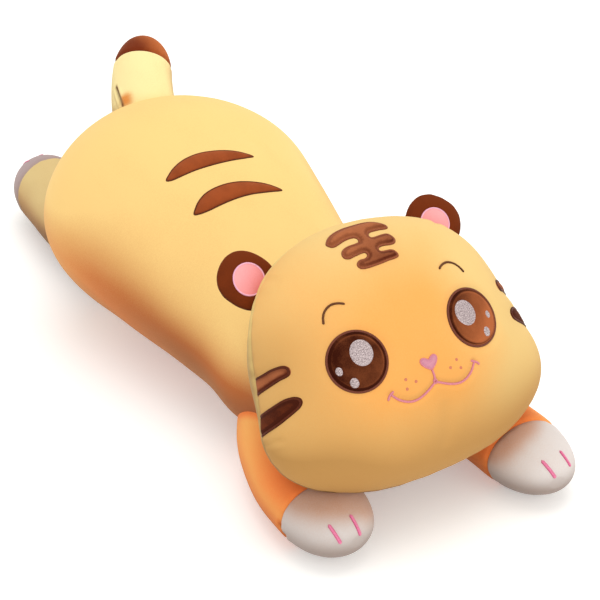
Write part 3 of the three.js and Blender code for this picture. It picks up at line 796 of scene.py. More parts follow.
@dataclass
class StuffedForm:
    """A closed cloth form as rings of points, one ahead of the other, between two poles."""

    name: str
    rings: Array

    def normals(self) -> Array:
        """Works out which way the cloth faces.

        Returns:
            The outward direction at each point of the rings.
        """
        around = np.roll(self.rings, -1, 1) - np.roll(self.rings, 1, 1)
        along = np.gradient(self.rings, axis=0)
        found = unit(np.cross(around, along))
        found[0] = unit(found[1].mean(0))
        found[-1] = unit(found[-2].mean(0))
        middle = self.rings.mean((0, 1))
        if np.sum(found * (self.rings - middle)) < 0:
            found = -found
        return found

    def faces(self) -> Faces:
        """The closed skin's faces, with one vertex at each pole."""
        return ring_faces(len(self.rings), self.rings.shape[1], poles=True)

    def vertices(self) -> Array:
        """The closed skin's vertices, with one vertex at each pole."""
        return with_poles(self.rings)

    def stuff(self, voxel: float, inset: float, cap: float) -> None:
        """Lets air pressure swell the cloth, as filling does, and takes over its shape.

        A copy of the form is remeshed, blown up as cloth and capped. The rings then move
        along their normals onto it, so that seams can follow the rings afterwards.

        Args:
            voxel: The remeshed copy's edge length.
            inset: How much smaller the copy starts.
            cap: How far a point of the copy may move.
        """
        normals = self.normals()
        shrunk = StuffedForm(self.name, (self.rings - normals * inset)[::2, ::2])
        if len(self.rings) % 2 == 0:
            shrunk.rings = np.concatenate([shrunk.rings, (self.rings - normals * inset)[-1:, ::2]])
        blown, faces = blow_up(shrunk, voxel, cap)
        tree = BVHTree.FromPolygons(blown.tolist(), faces)
        reach = cap + 4
        swell = np.zeros(self.rings.shape[:2])
        for r, c in np.ndindex(swell.shape):
            start = self.rings[r, c] + normals[r, c] * reach
            hit = tree.ray_cast(Vector(start), Vector(-normals[r, c]), 2 * reach + inset)
            swell[r, c] = -inset if hit[0] is None else reach - hit[3]
        # The filling keeps the toy's size, and only its shape comes from the cloth.
        swell -= np.median(swell[1:-1])
        swell = SWELL_SHARE * np.tanh(swell / SWELL_LIMIT) + SWELL_REST
        swell[0], swell[-1] = swell[0].mean(), swell[-1].mean()
        # The voxels leave steps of a fraction of a millimetre, which this evens out.
        for _ in range(SMOOTHING_ROUNDS):
            swell = (swell + np.roll(swell, 1, 1) + np.roll(swell, -1, 1)) / 3
            inner = (swell[:-2] + swell[1:-1] + swell[2:]) / 3
            swell = np.concatenate([swell[:1], inner, swell[-1:]])
            swell[0], swell[-1] = swell[1].mean(), swell[-2].mean()
        LOG.info("%s swells by %.1f to %.1f mm", self.name, swell.min(), swell.max())
        self.rings = self.rings + normals * swell[..., None]

    def soften(self, length: float, height: float, seed: int) -> None:
        """Gives the cloth the faint hills of loose filling, so long and so high."""
        self.push(waves(self.rings, length, seed) * height)

    def push(self, move: Array) -> None:
        """Moves each point along its normal.

        Args:
            move: How far, for each point of the rings.
        """
        move = move.copy()
        move[0], move[-1] = move[0].mean(), move[-1].mean()
        self.rings = self.rings + self.normals() * move[..., None]

    def sink_seam(
        self, ring: int, depth: float, width: float, seed: int, pucker: float = 0.4
    ) -> None:
        """Pulls the cloth in along one ring, with small puckers beside it.

        Args:
            ring: The ring that the seam follows.
            depth: How deep the seam sinks.
            width: How far its pull reaches.
            seed: The seed of the puckers.
            pucker: How high the puckers stand.
        """
        steps = np.linalg.norm(np.diff(self.rings, axis=0), axis=2)
        along = np.concatenate([np.zeros((1, steps.shape[1])), np.cumsum(steps, 0)])
        away = np.abs(along - along[ring])
        pull = -depth * bell(away, 0, width)
        grain = waves(self.rings[ring], 11.0, seed)[None, :]
        folds = pucker * grain * np.exp(-away / (2.2 * width)) * (1 - bell(away, 0, 1.5))
        self.push(pull + folds)

    def fold(self, creases: Sequence[Crease]) -> Array:
        """Sinks creases into the cloth, from and to the skin points nearest their ends.

        Args:
            creases: The creases.

        Returns:
            The painted shade in them, for each point of the rings.
        """
        fold_shadowed = np.zeros(self.rings.shape[:2])
        for crease in creases:
            for end in ("start", "end"):
                away = np.linalg.norm(self.rings - getattr(crease, end), axis=-1)
                nearest = np.unravel_index(np.argmin(away), away.shape)
                setattr(crease, end, tuple(self.rings[nearest]))
            fold_shadowed = np.maximum(fold_shadowed, crease.stain(self.rings))
            self.push(crease.drop(self.rings))
        return fold_shadowed

    def rest_on_floor(self, press: float = 5.0, reach: float = 14.0) -> None:
        """Flattens what lies on the floor.

        Args:
            press: How much the lowest cloth is pressed.
            reach: How high the press is felt.
        """
        height = self.rings[..., 2]
        pressed = height - press * np.exp(-np.maximum(height, 0) / reach)
        self.rings[..., 2] = np.maximum(pressed, 0.0)

    def turned_down(self, start: float, end: float) -> Array:
        """A painted shade that grows between two downward shares of the cloth's normal."""
        return ease(-self.normals()[..., 2], start, end)

    def facing_away(self, light: Sequence[float], start: float, end: float) -> Array:
        """A painted shade that fades between two shares of the normal along a light's direction.
        """
        return 1 - ease(self.normals() @ unit(np.array(light, float)), start, end)

    def panel(
        self, name: str, first: int, last: int, tone: Array, hollow: Array | None = None
    ) -> bpy.types.Object:
        """Makes one cloth panel, closed behind its seam where it has one.

        Args:
            name: The piece's name.
            first: The panel's first ring. It is a pole where it is the form's first.
            last: The panel's last ring. It is a pole where it is the form's last.
            tone: The shade of each point of the whole form.
            hollow: The painted shade at each point of the whole form.

        Returns:
            The panel's object.
        """
        if hollow is None:
            hollow = np.zeros_like(tone)
        rings = self.rings[first : last + 1]
        shades = np.stack([tone, hollow], -1)[first : last + 1]
        count = len(self.rings) - 1
        if first > 0:
            rings, shades = self._close(rings, shades)
        if last < count:
            back, back_shades = self._close(rings[::-1], shades[::-1])
            rings, shades = back[::-1], back_shades[::-1]
        faces = ring_faces(len(rings), rings.shape[1], poles=True)
        tone, hollow = with_poles(shades).T
        return make_mesh(name, with_poles(rings), faces, tone=tone, hollow=hollow)

    @staticmethod
    def _close(rings: Array, shades: Array) -> tuple[Array, Array]:
        """Turns the first ring's cloth in, as a seam allowance, and closes it with a pole.

        Args:
            rings: The panel's rings.
            shades: Their shades.

        Returns:
            The rings and shades with the turned-in ones before them.
        """
        middle = rings[0].mean(0)
        inside = unit(rings[1].mean(0) - middle)
        away = middle - rings[0]
        turned = rings[0] + unit(away) * 5 + inside * 0.4
        pole = np.repeat((middle + inside * 1.5)[None], rings.shape[1], 0)
        edge = rings[0] + unit(away) * 0.6 + inside * 0.05
        extra = np.stack([pole, (turned + pole) / 2, turned, edge])
        shade = np.repeat(shades[:1], 4, 0)
        return np.concatenate([extra, rings[1:]]), np.concatenate([shade, shades[1:]])


def with_poles(rows: Array) -> Array:
    """A skin's values in one list, with the first and the last ring as one vertex each."""
    return np.vstack([rows[0, :1], rows[1:-1].reshape(-1, rows.shape[-1]), rows[-1, :1]])


def ring_faces(rings: int, around: int, poles: bool) -> Faces:
    """The faces of a skin of rings.

    Args:
        rings: How many rings there are, poles counted.
        around: How many points a ring has.
        poles: Whether the first and the last ring are one vertex each.

    Returns:
        The faces, all turned the same way.
    """
    starts, at = [], 0
    for r in range(rings):
        starts.append(at)
        at += 1 if poles and r in (0, rings - 1) else around
    faces = []
    for r in range(rings - 1):
        for c in range(around):
            d = (c + 1) % around
            low, high = [starts[r] + c, starts[r] + d], [starts[r + 1] + d, starts[r + 1] + c]
            if poles and r == 0:
                low = [starts[r]]
            if poles and r == rings - 2:
                high = [starts[r + 1]]
            faces.append(low + high)
    return faces


def blow_up(form: StuffedForm, voxel: float, cap: float) -> tuple[Array, Faces]:
    """Blows up a remeshed copy of a form as cloth under pressure.

    Args:
        form: The form that is copied.
        voxel: The copy's edge length.
        cap: How far a point may move.

    Returns:
        The blown cloth's points in millimetres and its faces.
    """
    bpy.ops.object.select_all(action="DESELECT")
    copy = make_mesh(f"{form.name}_swelling", form.vertices(), form.faces())
    bpy.context.view_layer.objects.active = copy
    copy.select_set(True)
    remesh = copy.modifiers.new("Remesh", "REMESH")
    remesh.mode = "VOXEL"
    remesh.voxel_size = voxel * MM
    bpy.ops.object.modifier_apply(modifier=remesh.name)
    before = mesh_points(copy.data)
    cloth = copy.modifiers.new("Cloth", "CLOTH")
    cloth.settings.use_pressure = True
    cloth.settings.uniform_pressure_force = CLOTH_PRESSURE
    cloth.settings.shrink_min = -CLOTH_GIVE
    cloth.settings.effector_weights.gravity = 0
    scene = bpy.context.scene
    for frame in range(1, SWELL_FRAMES + 1):
        scene.frame_set(frame)
    bpy.ops.object.modifier_apply(modifier=cloth.name)
    scene.frame_set(1)
    move = brought_back(mesh_points(copy.data), before) - before
    length = np.linalg.norm(move, axis=1, keepdims=True)
    after = before + move * np.minimum(1, cap / np.maximum(length, 1e-9))
    faces = [list(polygon.vertices) for polygon in copy.data.polygons]
    bpy.data.objects.remove(copy)
    return after, faces


def brought_back(drifted: Array, before: Array) -> Array:
    """Turns and moves a cloth that floated off back over its old place.

    Args:
        drifted: The cloth's points after it floated.
        before: The same points before.

    Returns:
        The drifted points, fitted as one stiff body.
    """
    middle, place = before.mean(0), drifted.mean(0)
    left, _, right = np.linalg.svd((drifted - place).T @ (before - middle))
    return (drifted - place) @ (left @ right) + middle


def mesh_points(mesh: bpy.types.Mesh) -> Array:
    """A mesh's vertices.

    Args:
        mesh: The mesh.

    Returns:
        The places in millimetres, one in each row.
    """
    flat = np.zeros(len(mesh.vertices) * 3)
    mesh.vertices.foreach_get("co", flat)
    return flat.reshape(-1, 3) / MM


@dataclass
class Surface:
    """A finished form's skin, to lay patches and threads on."""

    form: StuffedForm
    tree: BVHTree = field(init=False)

    def __post_init__(self) -> None:
        """Builds the search tree over the skin."""
        self._points = self.form.vertices()
        self._faces = self.form.faces()
        self._normals = with_poles(self.form.normals())
        self.tree = BVHTree.FromPolygons(self._points.tolist(), self._faces)

    def drop(self, points: Array, toward: Array, reach: float = 90.0) -> tuple[Array, Array]:
        """Moves points onto the skin along a direction.

        Args:
            points: Places near the skin or before it.
            toward: The direction into the form, one for all or one for each.
            reach: How far before the point the search starts.

        Returns:
            The places on the skin, and the skin's normals there.
        """
        ways = np.broadcast_to(toward, points.shape)
        placed, turned = np.empty_like(points), np.empty_like(points)
        for i, (point, way) in enumerate(zip(points, ways, strict=True)):
            hit = self.tree.ray_cast(Vector(point - way * reach), Vector(way), reach * 3)
            if hit[0] is None:
                hit = self.tree.find_nearest(Vector(point))
            placed[i] = hit[0]
            corners = self._faces[hit[2]]
            near = 1 / (np.linalg.norm(self._points[corners] - placed[i], axis=1) + 0.05)
            turned[i] = (self._normals[corners] * near[:, None]).sum(0)
        return placed, unit(turned)

    def nearness(self, points: Array, reach: float) -> Array:
        """How near points lie to the skin.

        Args:
            points: Places in millimetres.
            reach: The distance over which it fades.

        Returns:
            One on the skin, falling to nothing away from it, for each point.
        """
        found = np.zeros(points.shape[:-1])
        for at in np.ndindex(found.shape):
            hit = self.tree.find_nearest(Vector(points[at]), reach * 2.5)
            if hit[0] is not None:
                found[at] = math.exp(-((hit[3] / reach) ** 2))
        return found


# Sewn details


@dataclass
class Patch:
    """A cloth patch sewn on inside a satin-stitched edge, and puffed in its middle."""

    name: str
    outline: Array
    place: Placer
    finish: Finish
    edge_width: float = 2.4
    puff: float = 3.0
    puff_reach: float = 5.0
    mesh_step: float = 2.2
    base: float = 0.5
    rows: tuple[float, ...] = (0.5, 1.1, 1.8, 2.6, 3.6)
    tone: Callable[[Array, Array], Array] | None = None

    def build(self) -> bpy.types.Object:
        """Makes the patch as a closed pad on the skin under it.

        Returns:
            The patch's object.
        """
        flat, faces = self._fill()
        depth = outline_distance(flat, self.outline)
        skin, normals = self.place(flat)
        above = skin + normals * self._height(depth)[:, None]
        under = skin - normals * 0.9
        count = len(flat)
        # The tone is painted shading; without one the patch gets a painted shade along its edge.
        shade = self.tone(flat, depth) if self.tone else 0.9 * bell(depth, 0, 2.6)
        every = [list(face) for face in faces]
        every += [[v + count for v in reversed(face)] for face in faces]
        every += [[b, a, a + count, b + count] for a, b in rim_edges(faces)]
        made = make_mesh(
            self.name, np.vstack([above, under]), every, corners=np.vstack([flat, flat]),
            tone=np.concatenate([shade, shade])
        )
        made.data.materials.append(self.finish.material())
        return made

    def _height(self, depth: Array) -> Array:
        """How high the cloth stands at depths inside the outline."""
        inner = np.maximum(depth - self.edge_width * 0.6, 0) / self.puff_reach
        return self.base * ease(depth, -0.2, 0.8) + self.puff * (1 - np.exp(-(inner**1.25)))

    def edge(
        self, name: str, inset: float, thread: SatinFinish, width: float, height: float
    ) -> "StitchedLine":
        """The closed line of stitches along the patch's rim."""
        path = inward(self.outline, inset)
        return StitchedLine(name, path, self.place, thread, width, height, closed=True)

    def _fill(self) -> tuple[Array, Faces]:
        """Fills the outline with rows of points along its edge and a grid inside.

        Returns:
            The flat points and the triangles between them.
        """
        chosen = [self.outline]
        for row in self.rows:
            line = inward(self.outline, row)
            away = outline_distance(line, self.outline)
            chosen.append(line[(away > row * 0.96) & inside_outline(line, self.outline)])
        low, high = self.outline.min(0), self.outline.max(0)
        step = self.mesh_step
        across, up = np.meshgrid(
            np.arange(low[0], high[0], step), np.arange(low[1], high[1], step * 0.87)
        )
        across = across + step / 2 * (np.arange(across.shape[0])[:, None] % 2)
        grid = np.stack([across.ravel(), up.ravel()], 1)
        grid = grid[inside_outline(grid, self.outline)]
        grid = grid[outline_distance(grid, self.outline) > self.rows[-1] + step * 0.5]
        chosen.append(grid)
        points = np.vstack(chosen)
        count = len(self.outline)
        edges = [(i, (i + 1) % count) for i in range(count)]
        filled = delaunay_2d_cdt([Vector(p) for p in points], edges, [], 1, 1e-4)
        return np.array([tuple(p) for p in filled[0]]), [list(f) for f in filled[2]]


def rim_edges(faces: Sequence[Sequence[int]]) -> list[tuple[int, int]]:
    """The edges round a sheet of faces.

    Args:
        faces: The faces.

    Returns:
        The edges that only one face has, in that face's direction.
    """
    seen = {}
    for face in faces:
        for a, b in zip(face, [*face[1:], face[0]], strict=True):
            seen[(a, b)] = True
    return [(a, b) for a, b in seen if (b, a) not in seen]


@dataclass
class StitchedLine:
    """A raised line of satin stitches along a path."""

    name: str
    path: Array
    place: Placer
    finish: SatinFinish
    width: float = 2.4
    height: float = 0.9
    lift: float = 0.1
    closed: bool = False
    sections: int = 9

    def build(self) -> bpy.types.Object:
        """Makes the line as a flat bead on the skin under it."""
        return joined_lines(self.name, [self])

    def shape(self) -> tuple[Array, Faces, Array]:
        """Works out the bead.

        Returns:
            Its points, its faces and their places on the thread.
        """
        skin, normals = self.place(self.path)
        if self.closed:
            ahead = unit(np.roll(skin, -1, 0) - np.roll(skin, 1, 0))
        else:
            ahead = unit(np.gradient(skin, axis=0))
        aside = unit(np.cross(ahead, normals))
        steps = np.linalg.norm(np.diff(skin, axis=0), axis=1)
        along = np.concatenate([[0], np.cumsum(steps)])
        swell = np.ones(len(skin))
        if not self.closed:
            near = np.minimum(along, along[-1] - along) / (self.width / 2)
            swell = np.sqrt(np.clip(1 - (1 - np.minimum(near, 1)) ** 2, 0.04, 1))
        turn = np.linspace(0, FULL_TURN, self.sections, endpoint=False)
        across = np.cos(turn) * self.width / 2
        above = np.where(np.sin(turn) > 0, np.sin(turn) * self.height, np.sin(turn) * 0.5)
        rings = (
            skin[:, None] + aside[:, None] * (across[None, :] * swell[:, None])[..., None]
            + normals[:, None] * (above[None, :] * swell[:, None] + self.lift)[..., None]
        )
        place = np.stack(
            np.broadcast_arrays(along[:, None], (turn / FULL_TURN * self.width)[None, :]), -1
        )
        points, corners = rings.reshape(-1, 3), place.reshape(-1, 2)
        faces = ring_faces(len(skin) + self.closed, self.sections, poles=False)
        if self.closed:
            return points, [[v % len(points) for v in face] for face in faces], corners
        faces.append(list(range(self.sections))[::-1])
        faces.append([len(points) - self.sections + i for i in range(self.sections)])
        return points, faces, corners


def joined_lines(name: str, lines: Sequence[StitchedLine]) -> bpy.types.Object:
    """Makes several stitched lines as one piece.

    Args:
        name: The piece's name.
        lines: The lines, all of one thread.

    Returns:
        The piece's object.
    """
    points, faces, corners, side_shades, at = [], [], [], [], 0
    for line in lines:
        part, part_faces, part_corners = line.shape()
        # Painted shade on each bead's flanks, none on its top.
        turn = part_corners[:, 1] / line.width * FULL_TURN
        side_shades.append(0.8 * np.abs(np.cos(turn)) ** 3)
        if volume_of(part, part_faces) < 0:
            part_faces = [list(reversed(face)) for face in part_faces]
        points.append(part)
        corners.append(part_corners)
        faces += [[v + at for v in face] for face in part_faces]
        at += len(part)
    made = make_mesh(
        name, np.vstack(points), faces, corners=np.vstack(corners), tone=np.concatenate(side_shades)
    )
    made.data.materials.append(lines[0].finish.material())
    return made


def dress(
    piece: bpy.types.Object, body: str, replaced: Sequence[str] = (),
    finish: Finish | None = None
) -> bpy.types.Object:
    """Sets a finished piece on its body, its material and what it stands for.

    Args:
        piece: The piece.
        body: The CAD body that it rides on.
        replaced: The CAD nodes that it stands for.
        finish: Its finish, where it has no material yet.

    Returns:
        The piece.
    """
    if finish is not None:
        piece.data.materials.append(finish.material())
    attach(piece, body)
    if replaced:
        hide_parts(*replaced)
    LOG.info("%s: %d faces", piece.name, len(piece.data.polygons))
    return piece


# Sub-assemblies


@dataclass
class Torso:
    """The long body, from its round neck end to its rounded rump, and its two stripes."""

    wardrobe: Wardrobe
    skin: Surface = field(init=False)
    length: float = 550
    half_width: float = 168
    height: float = 253
    rump_rounding: float = 206
    rump_droop: float = 0.06
    neck_half_width: float = 97.9
    neck_radius: float = 75.01
    along_shares: tuple[float, ...] = (0, 0.239, 0.523, 0.773, 1)
    width_shares: tuple[float, ...] = (0.583, 0.67, 0.86, 1, 0.965)
    height_shares: tuple[float, ...] = (0.593, 0.676, 0.891, 1, 1.063)
    bedding: float = 0.5
    around: int = 168
    rear_stripe: Knots = (
        (-60.5, -2.5), (-54, 3.5), (-45, 9), (-31.7, 13.6), (-14, 15), (3.7, 12.4), (20, 8),
        (33, 1.8), (43.8, -7.2), (35, -9.6), (25.7, -10.4), (7.1, -10.9), (-10.9, -10.6),
        (-28.6, -9.5), (-43.5, -8.7), (-55.0, -7.0)
    )
    front_stripe: Knots = (
        (-56, -59), (-51, -53), (-44, -47.6), (-33, -43), (-18.1, -41.2), (-2, -41.8),
        (13.3, -44.6), (31, -50.2), (42.6, -56.2), (48.6, -62.4), (30.2, -64), (12.3, -63.6),
        (-5.9, -63.9), (-24.3, -64.6), (-39.5, -64.6), (-50.4, -62.6)
    )

    def form(self) -> StuffedForm:
        """Lays the torso's rings out.

        Returns:
            Its skin before its seams.
        """
        turn = np.linspace(0, FULL_TURN, self.around, endpoint=False)
        rows = []
        for bend in np.radians(np.linspace(90, 0, 16, endpoint=False)):
            squeeze = math.cos(bend)
            rows.append(
                self._ring(
                    turn, -self.neck_radius * math.sin(bend), self.neck_half_width * squeeze,
                    self.neck_radius * squeeze, self.neck_radius
                )
            )
        straight = self.length - self.rump_rounding
        for along in np.linspace(0, straight, 70, endpoint=False):
            rows.append(self._section(turn, along, 1.0))
        for bend in np.radians(np.linspace(0, 90, 64)):
            rows.append(
                self._section(turn, straight + self.rump_rounding * math.sin(bend), math.cos(bend))
            )
        return StuffedForm("body_plush", np.array(rows))

    @staticmethod
    def _shoulders(points: Array) -> Array:
        """How far the filling stands out where the front legs are sewn on."""
        aside, along, height = np.abs(points[..., 0]), points[..., 1], points[..., 2]
        return 9.5 * (ease(aside, 55, 98) * bell(along, -215, 46)) * bell(height, 48, 46)

    @staticmethod
    def _under_head(points: Array) -> Array:
        """The painted shade of the low front flank beside the head, less towards the rump."""
        along, low = points[..., 1], 1 - ease(points[..., 2], 65, 130)
        return 0.35 * ease(-along, 60, 220) * low - 0.32 * ease(along, 0, 130)

    def _section(self, turn: Array, along: float, squeeze: float) -> Array:
        """One ring of the swelling part.

        Args:
            turn: The angles round the ring.
            along: Its distance from the neck joint.
            squeeze: Its size share in the rump's rounding.

        Returns:
            The ring's points.
        """
        share = along / self.length
        half_width = self.half_width * smooth_read(self.along_shares, self.width_shares, share)
        height = self.height * smooth_read(self.along_shares, self.height_shares, share)
        middle = height / 2 * (1 - self.rump_droop * (1 - squeeze))
        return self._ring(turn, along, half_width * squeeze, height / 2 * squeeze, middle)

    def _ring(
        self, turn: Array, along: float, half_width: float, half_height: float, middle: float
    ) -> Array:
        """An oval ring across the body, at a distance from the neck joint."""
        up = middle - self.bedding + half_height * np.sin(turn)
        return np.column_stack([half_width * np.cos(turn), np.full_like(up, NECK_AT + along), up])

    def build(self, head: Surface) -> None:
        """Makes the body's cloth and its stripes.

        Args:
            head: The head's skin, beside which the cloth gets painted shade.
        """
        form = self.form()
        form.stuff(voxel=6.0, inset=4.0, cap=4.6)
        form.soften(length=150, height=0.8, seed=3)
        form.push(self._shoulders(form.rings))
        form.fold(
            [
                Crease((49, 46.7, 228), (61.8, 7.6, 213.9), 0.8, 7),
                Crease((20, 150, 258), (85, 130, 240), 0.8, 8),
                Crease((30, 172, 250), (98, 158, 225), 0.6, 6)
            ]
        )
        form.rest_on_floor()
        # Painted shade: the tone turns the cloth orange where it turns down and beside the head,
        # and the second attribute darkens the low front flank, the underside and beside the head.
        tone = np.clip(form.turned_down(-0.78, 0.16) + self._under_head(form.rings), 0, 1)
        hollow = 0.8 * ease(-form.rings[..., 1], -100, 160) * form.turned_down(-0.65, 0.3)
        hollow = np.maximum(hollow, 0.6 * form.turned_down(0.1, 0.8))
        beside = head.nearness(form.rings, 46) * (1 - ease(form.rings[..., 2], 95, 165))
        hollow = np.clip(hollow + 0.5 * beside, 0, 0.95)
        tone = np.maximum(tone, 0.9 * beside)
        cover = form.panel("body_plush", 0, len(form.rings) - 1, tone, hollow)
        dress(
            cover, Body.TORSO.value, ["body_cover", "body_filling"],
            self.wardrobe.body_plush
        )
        self.skin = Surface(form)

        def place(flat: Array) -> tuple[Array, Array]:
            """Drops a stripe's flat places onto the back."""
            high = np.column_stack([flat, np.full(len(flat), self.height)])
            return self.skin.drop(high, np.array([0.0, 0.0, -1.0]))

        thread = self.wardrobe.brown_thread
        for name, knots in (("front", self.front_stripe), ("rear", self.rear_stripe)):
            outline = closed_spline(knots, 1.5)
            # Each stripe gets a painted shade along its edge.
            patch = Patch(
                f"back_stripe_{name}_velvet", outline, place, self.wardrobe.stripe_velvet,
                edge_width=1.6, puff=3.4, puff_reach=4.5,
                tone=lambda flat, depth: 0.10 + 0.55 * bell(depth, 0, 1.6)
            )
            dress(patch.build(), Body.TORSO.value, [f"back_stripe_{name}"])
            edge = patch.edge(f"back_stripe_{name}_edge", 0.5, thread, 1.5, 0.7)
            dress(edge.build(), Body.TORSO.value)


@dataclass
class Pillow:
    """A rounded pillow with its own height and depth each way."""

    half_width: float
    top_height: float
    bottom_height: float
    front_depth: float
    back_depth: float
    top_exponent: float
    bottom_exponent: float
    taper: float = 0.0
    edge_degrees: float = 0.0

    def rings(self, around: int, levels: Sequence[float]) -> Array:
        """The pillow's rings, from its front pole to its back pole.

        Args:
            around: How many points a ring has.
            levels: The slope angle of each ring in degrees, from -90 to 90.

        Returns:
            The rings in the pillow's own frame: across, backward and up.
        """
        turn = np.linspace(0, FULL_TURN, around, endpoint=False)
        # At its sides the back panel leaves the seam at an angle, as a cushion's panel does.
        slack = 0.6 * bell(np.sin(turn), 0.25, 0.25)
        edge = math.radians(self.edge_degrees) * (np.cos(turn) ** 2 - slack * np.cos(turn) ** 2)
        rows = []
        for slope in np.radians(levels):
            if slope < 0:
                rows.append(self._ring(turn, math.cos(slope), self.front_depth * math.sin(slope)))
                continue
            angle = edge + (1 - edge / (math.pi / 2)) * slope
            spread = np.cos(angle) / np.cos(edge)
            share = (np.sin(angle) - np.sin(edge)) / (1 - np.sin(edge))
            rows.append(self._ring(turn, spread, self.back_depth * share))
        return np.array(rows)

    def _ring(self, turn: Array, spread: Array | float, depth: Array | float) -> Array:
        """One ring of the pillow.

        Args:
            turn: The angles round the ring.
            spread: Its size share.
            depth: Its place backward.

        Returns:
            The ring's points.
        """
        exponent = np.where(np.sin(turn) > 0, self.top_exponent, self.bottom_exponent)
        up = signed_power(np.sin(turn), 2 / exponent) * spread
        across = signed_power(np.cos(turn), 2 / exponent) * spread
        height = np.where(up > 0, self.top_height, self.bottom_height)
        wide = self.half_width * across * (1 - self.taper * up)
        return np.stack([wide, np.broadcast_to(depth, up.shape), height * up], 1)

    def front_depth_at(self, across: Array, up: Array) -> Array:
        """How far the front stands ahead of the seam at flat places."""
        return self.front_depth * np.sqrt(np.clip(1 - self.spread_at(across, up) ** 2, 0, 1))

    def spread_at(self, across: Array, up: Array) -> Array:
        """The size share, 1 on the seam, of the ring that passes through flat places."""
        rise, exponent, wide = self._profile(up)
        return (np.abs(across / wide) ** exponent + rise**exponent) ** (1 / exponent)

    def reach_at(self, spread: Array | float, up: Array) -> Array:
        """How far out the ring of a size share stands at places up."""
        rise, exponent, wide = self._profile(up)
        return wide * np.maximum(spread**exponent - rise**exponent, 0) ** (1 / exponent)

    def _profile(self, up: Array) -> tuple[Array, Array, Array]:
        """Reads the outline at places up.

        Args:
            up: Places up.

        Returns:
            Their shares of the height, the outline's exponents and its half widths there.
        """
        high = up > 0
        rise = up / np.where(high, self.top_height, self.bottom_height)
        wide = self.half_width * (1 - self.taper * rise)
        return np.abs(rise), np.where(high, self.top_exponent, self.bottom_exponent), wide


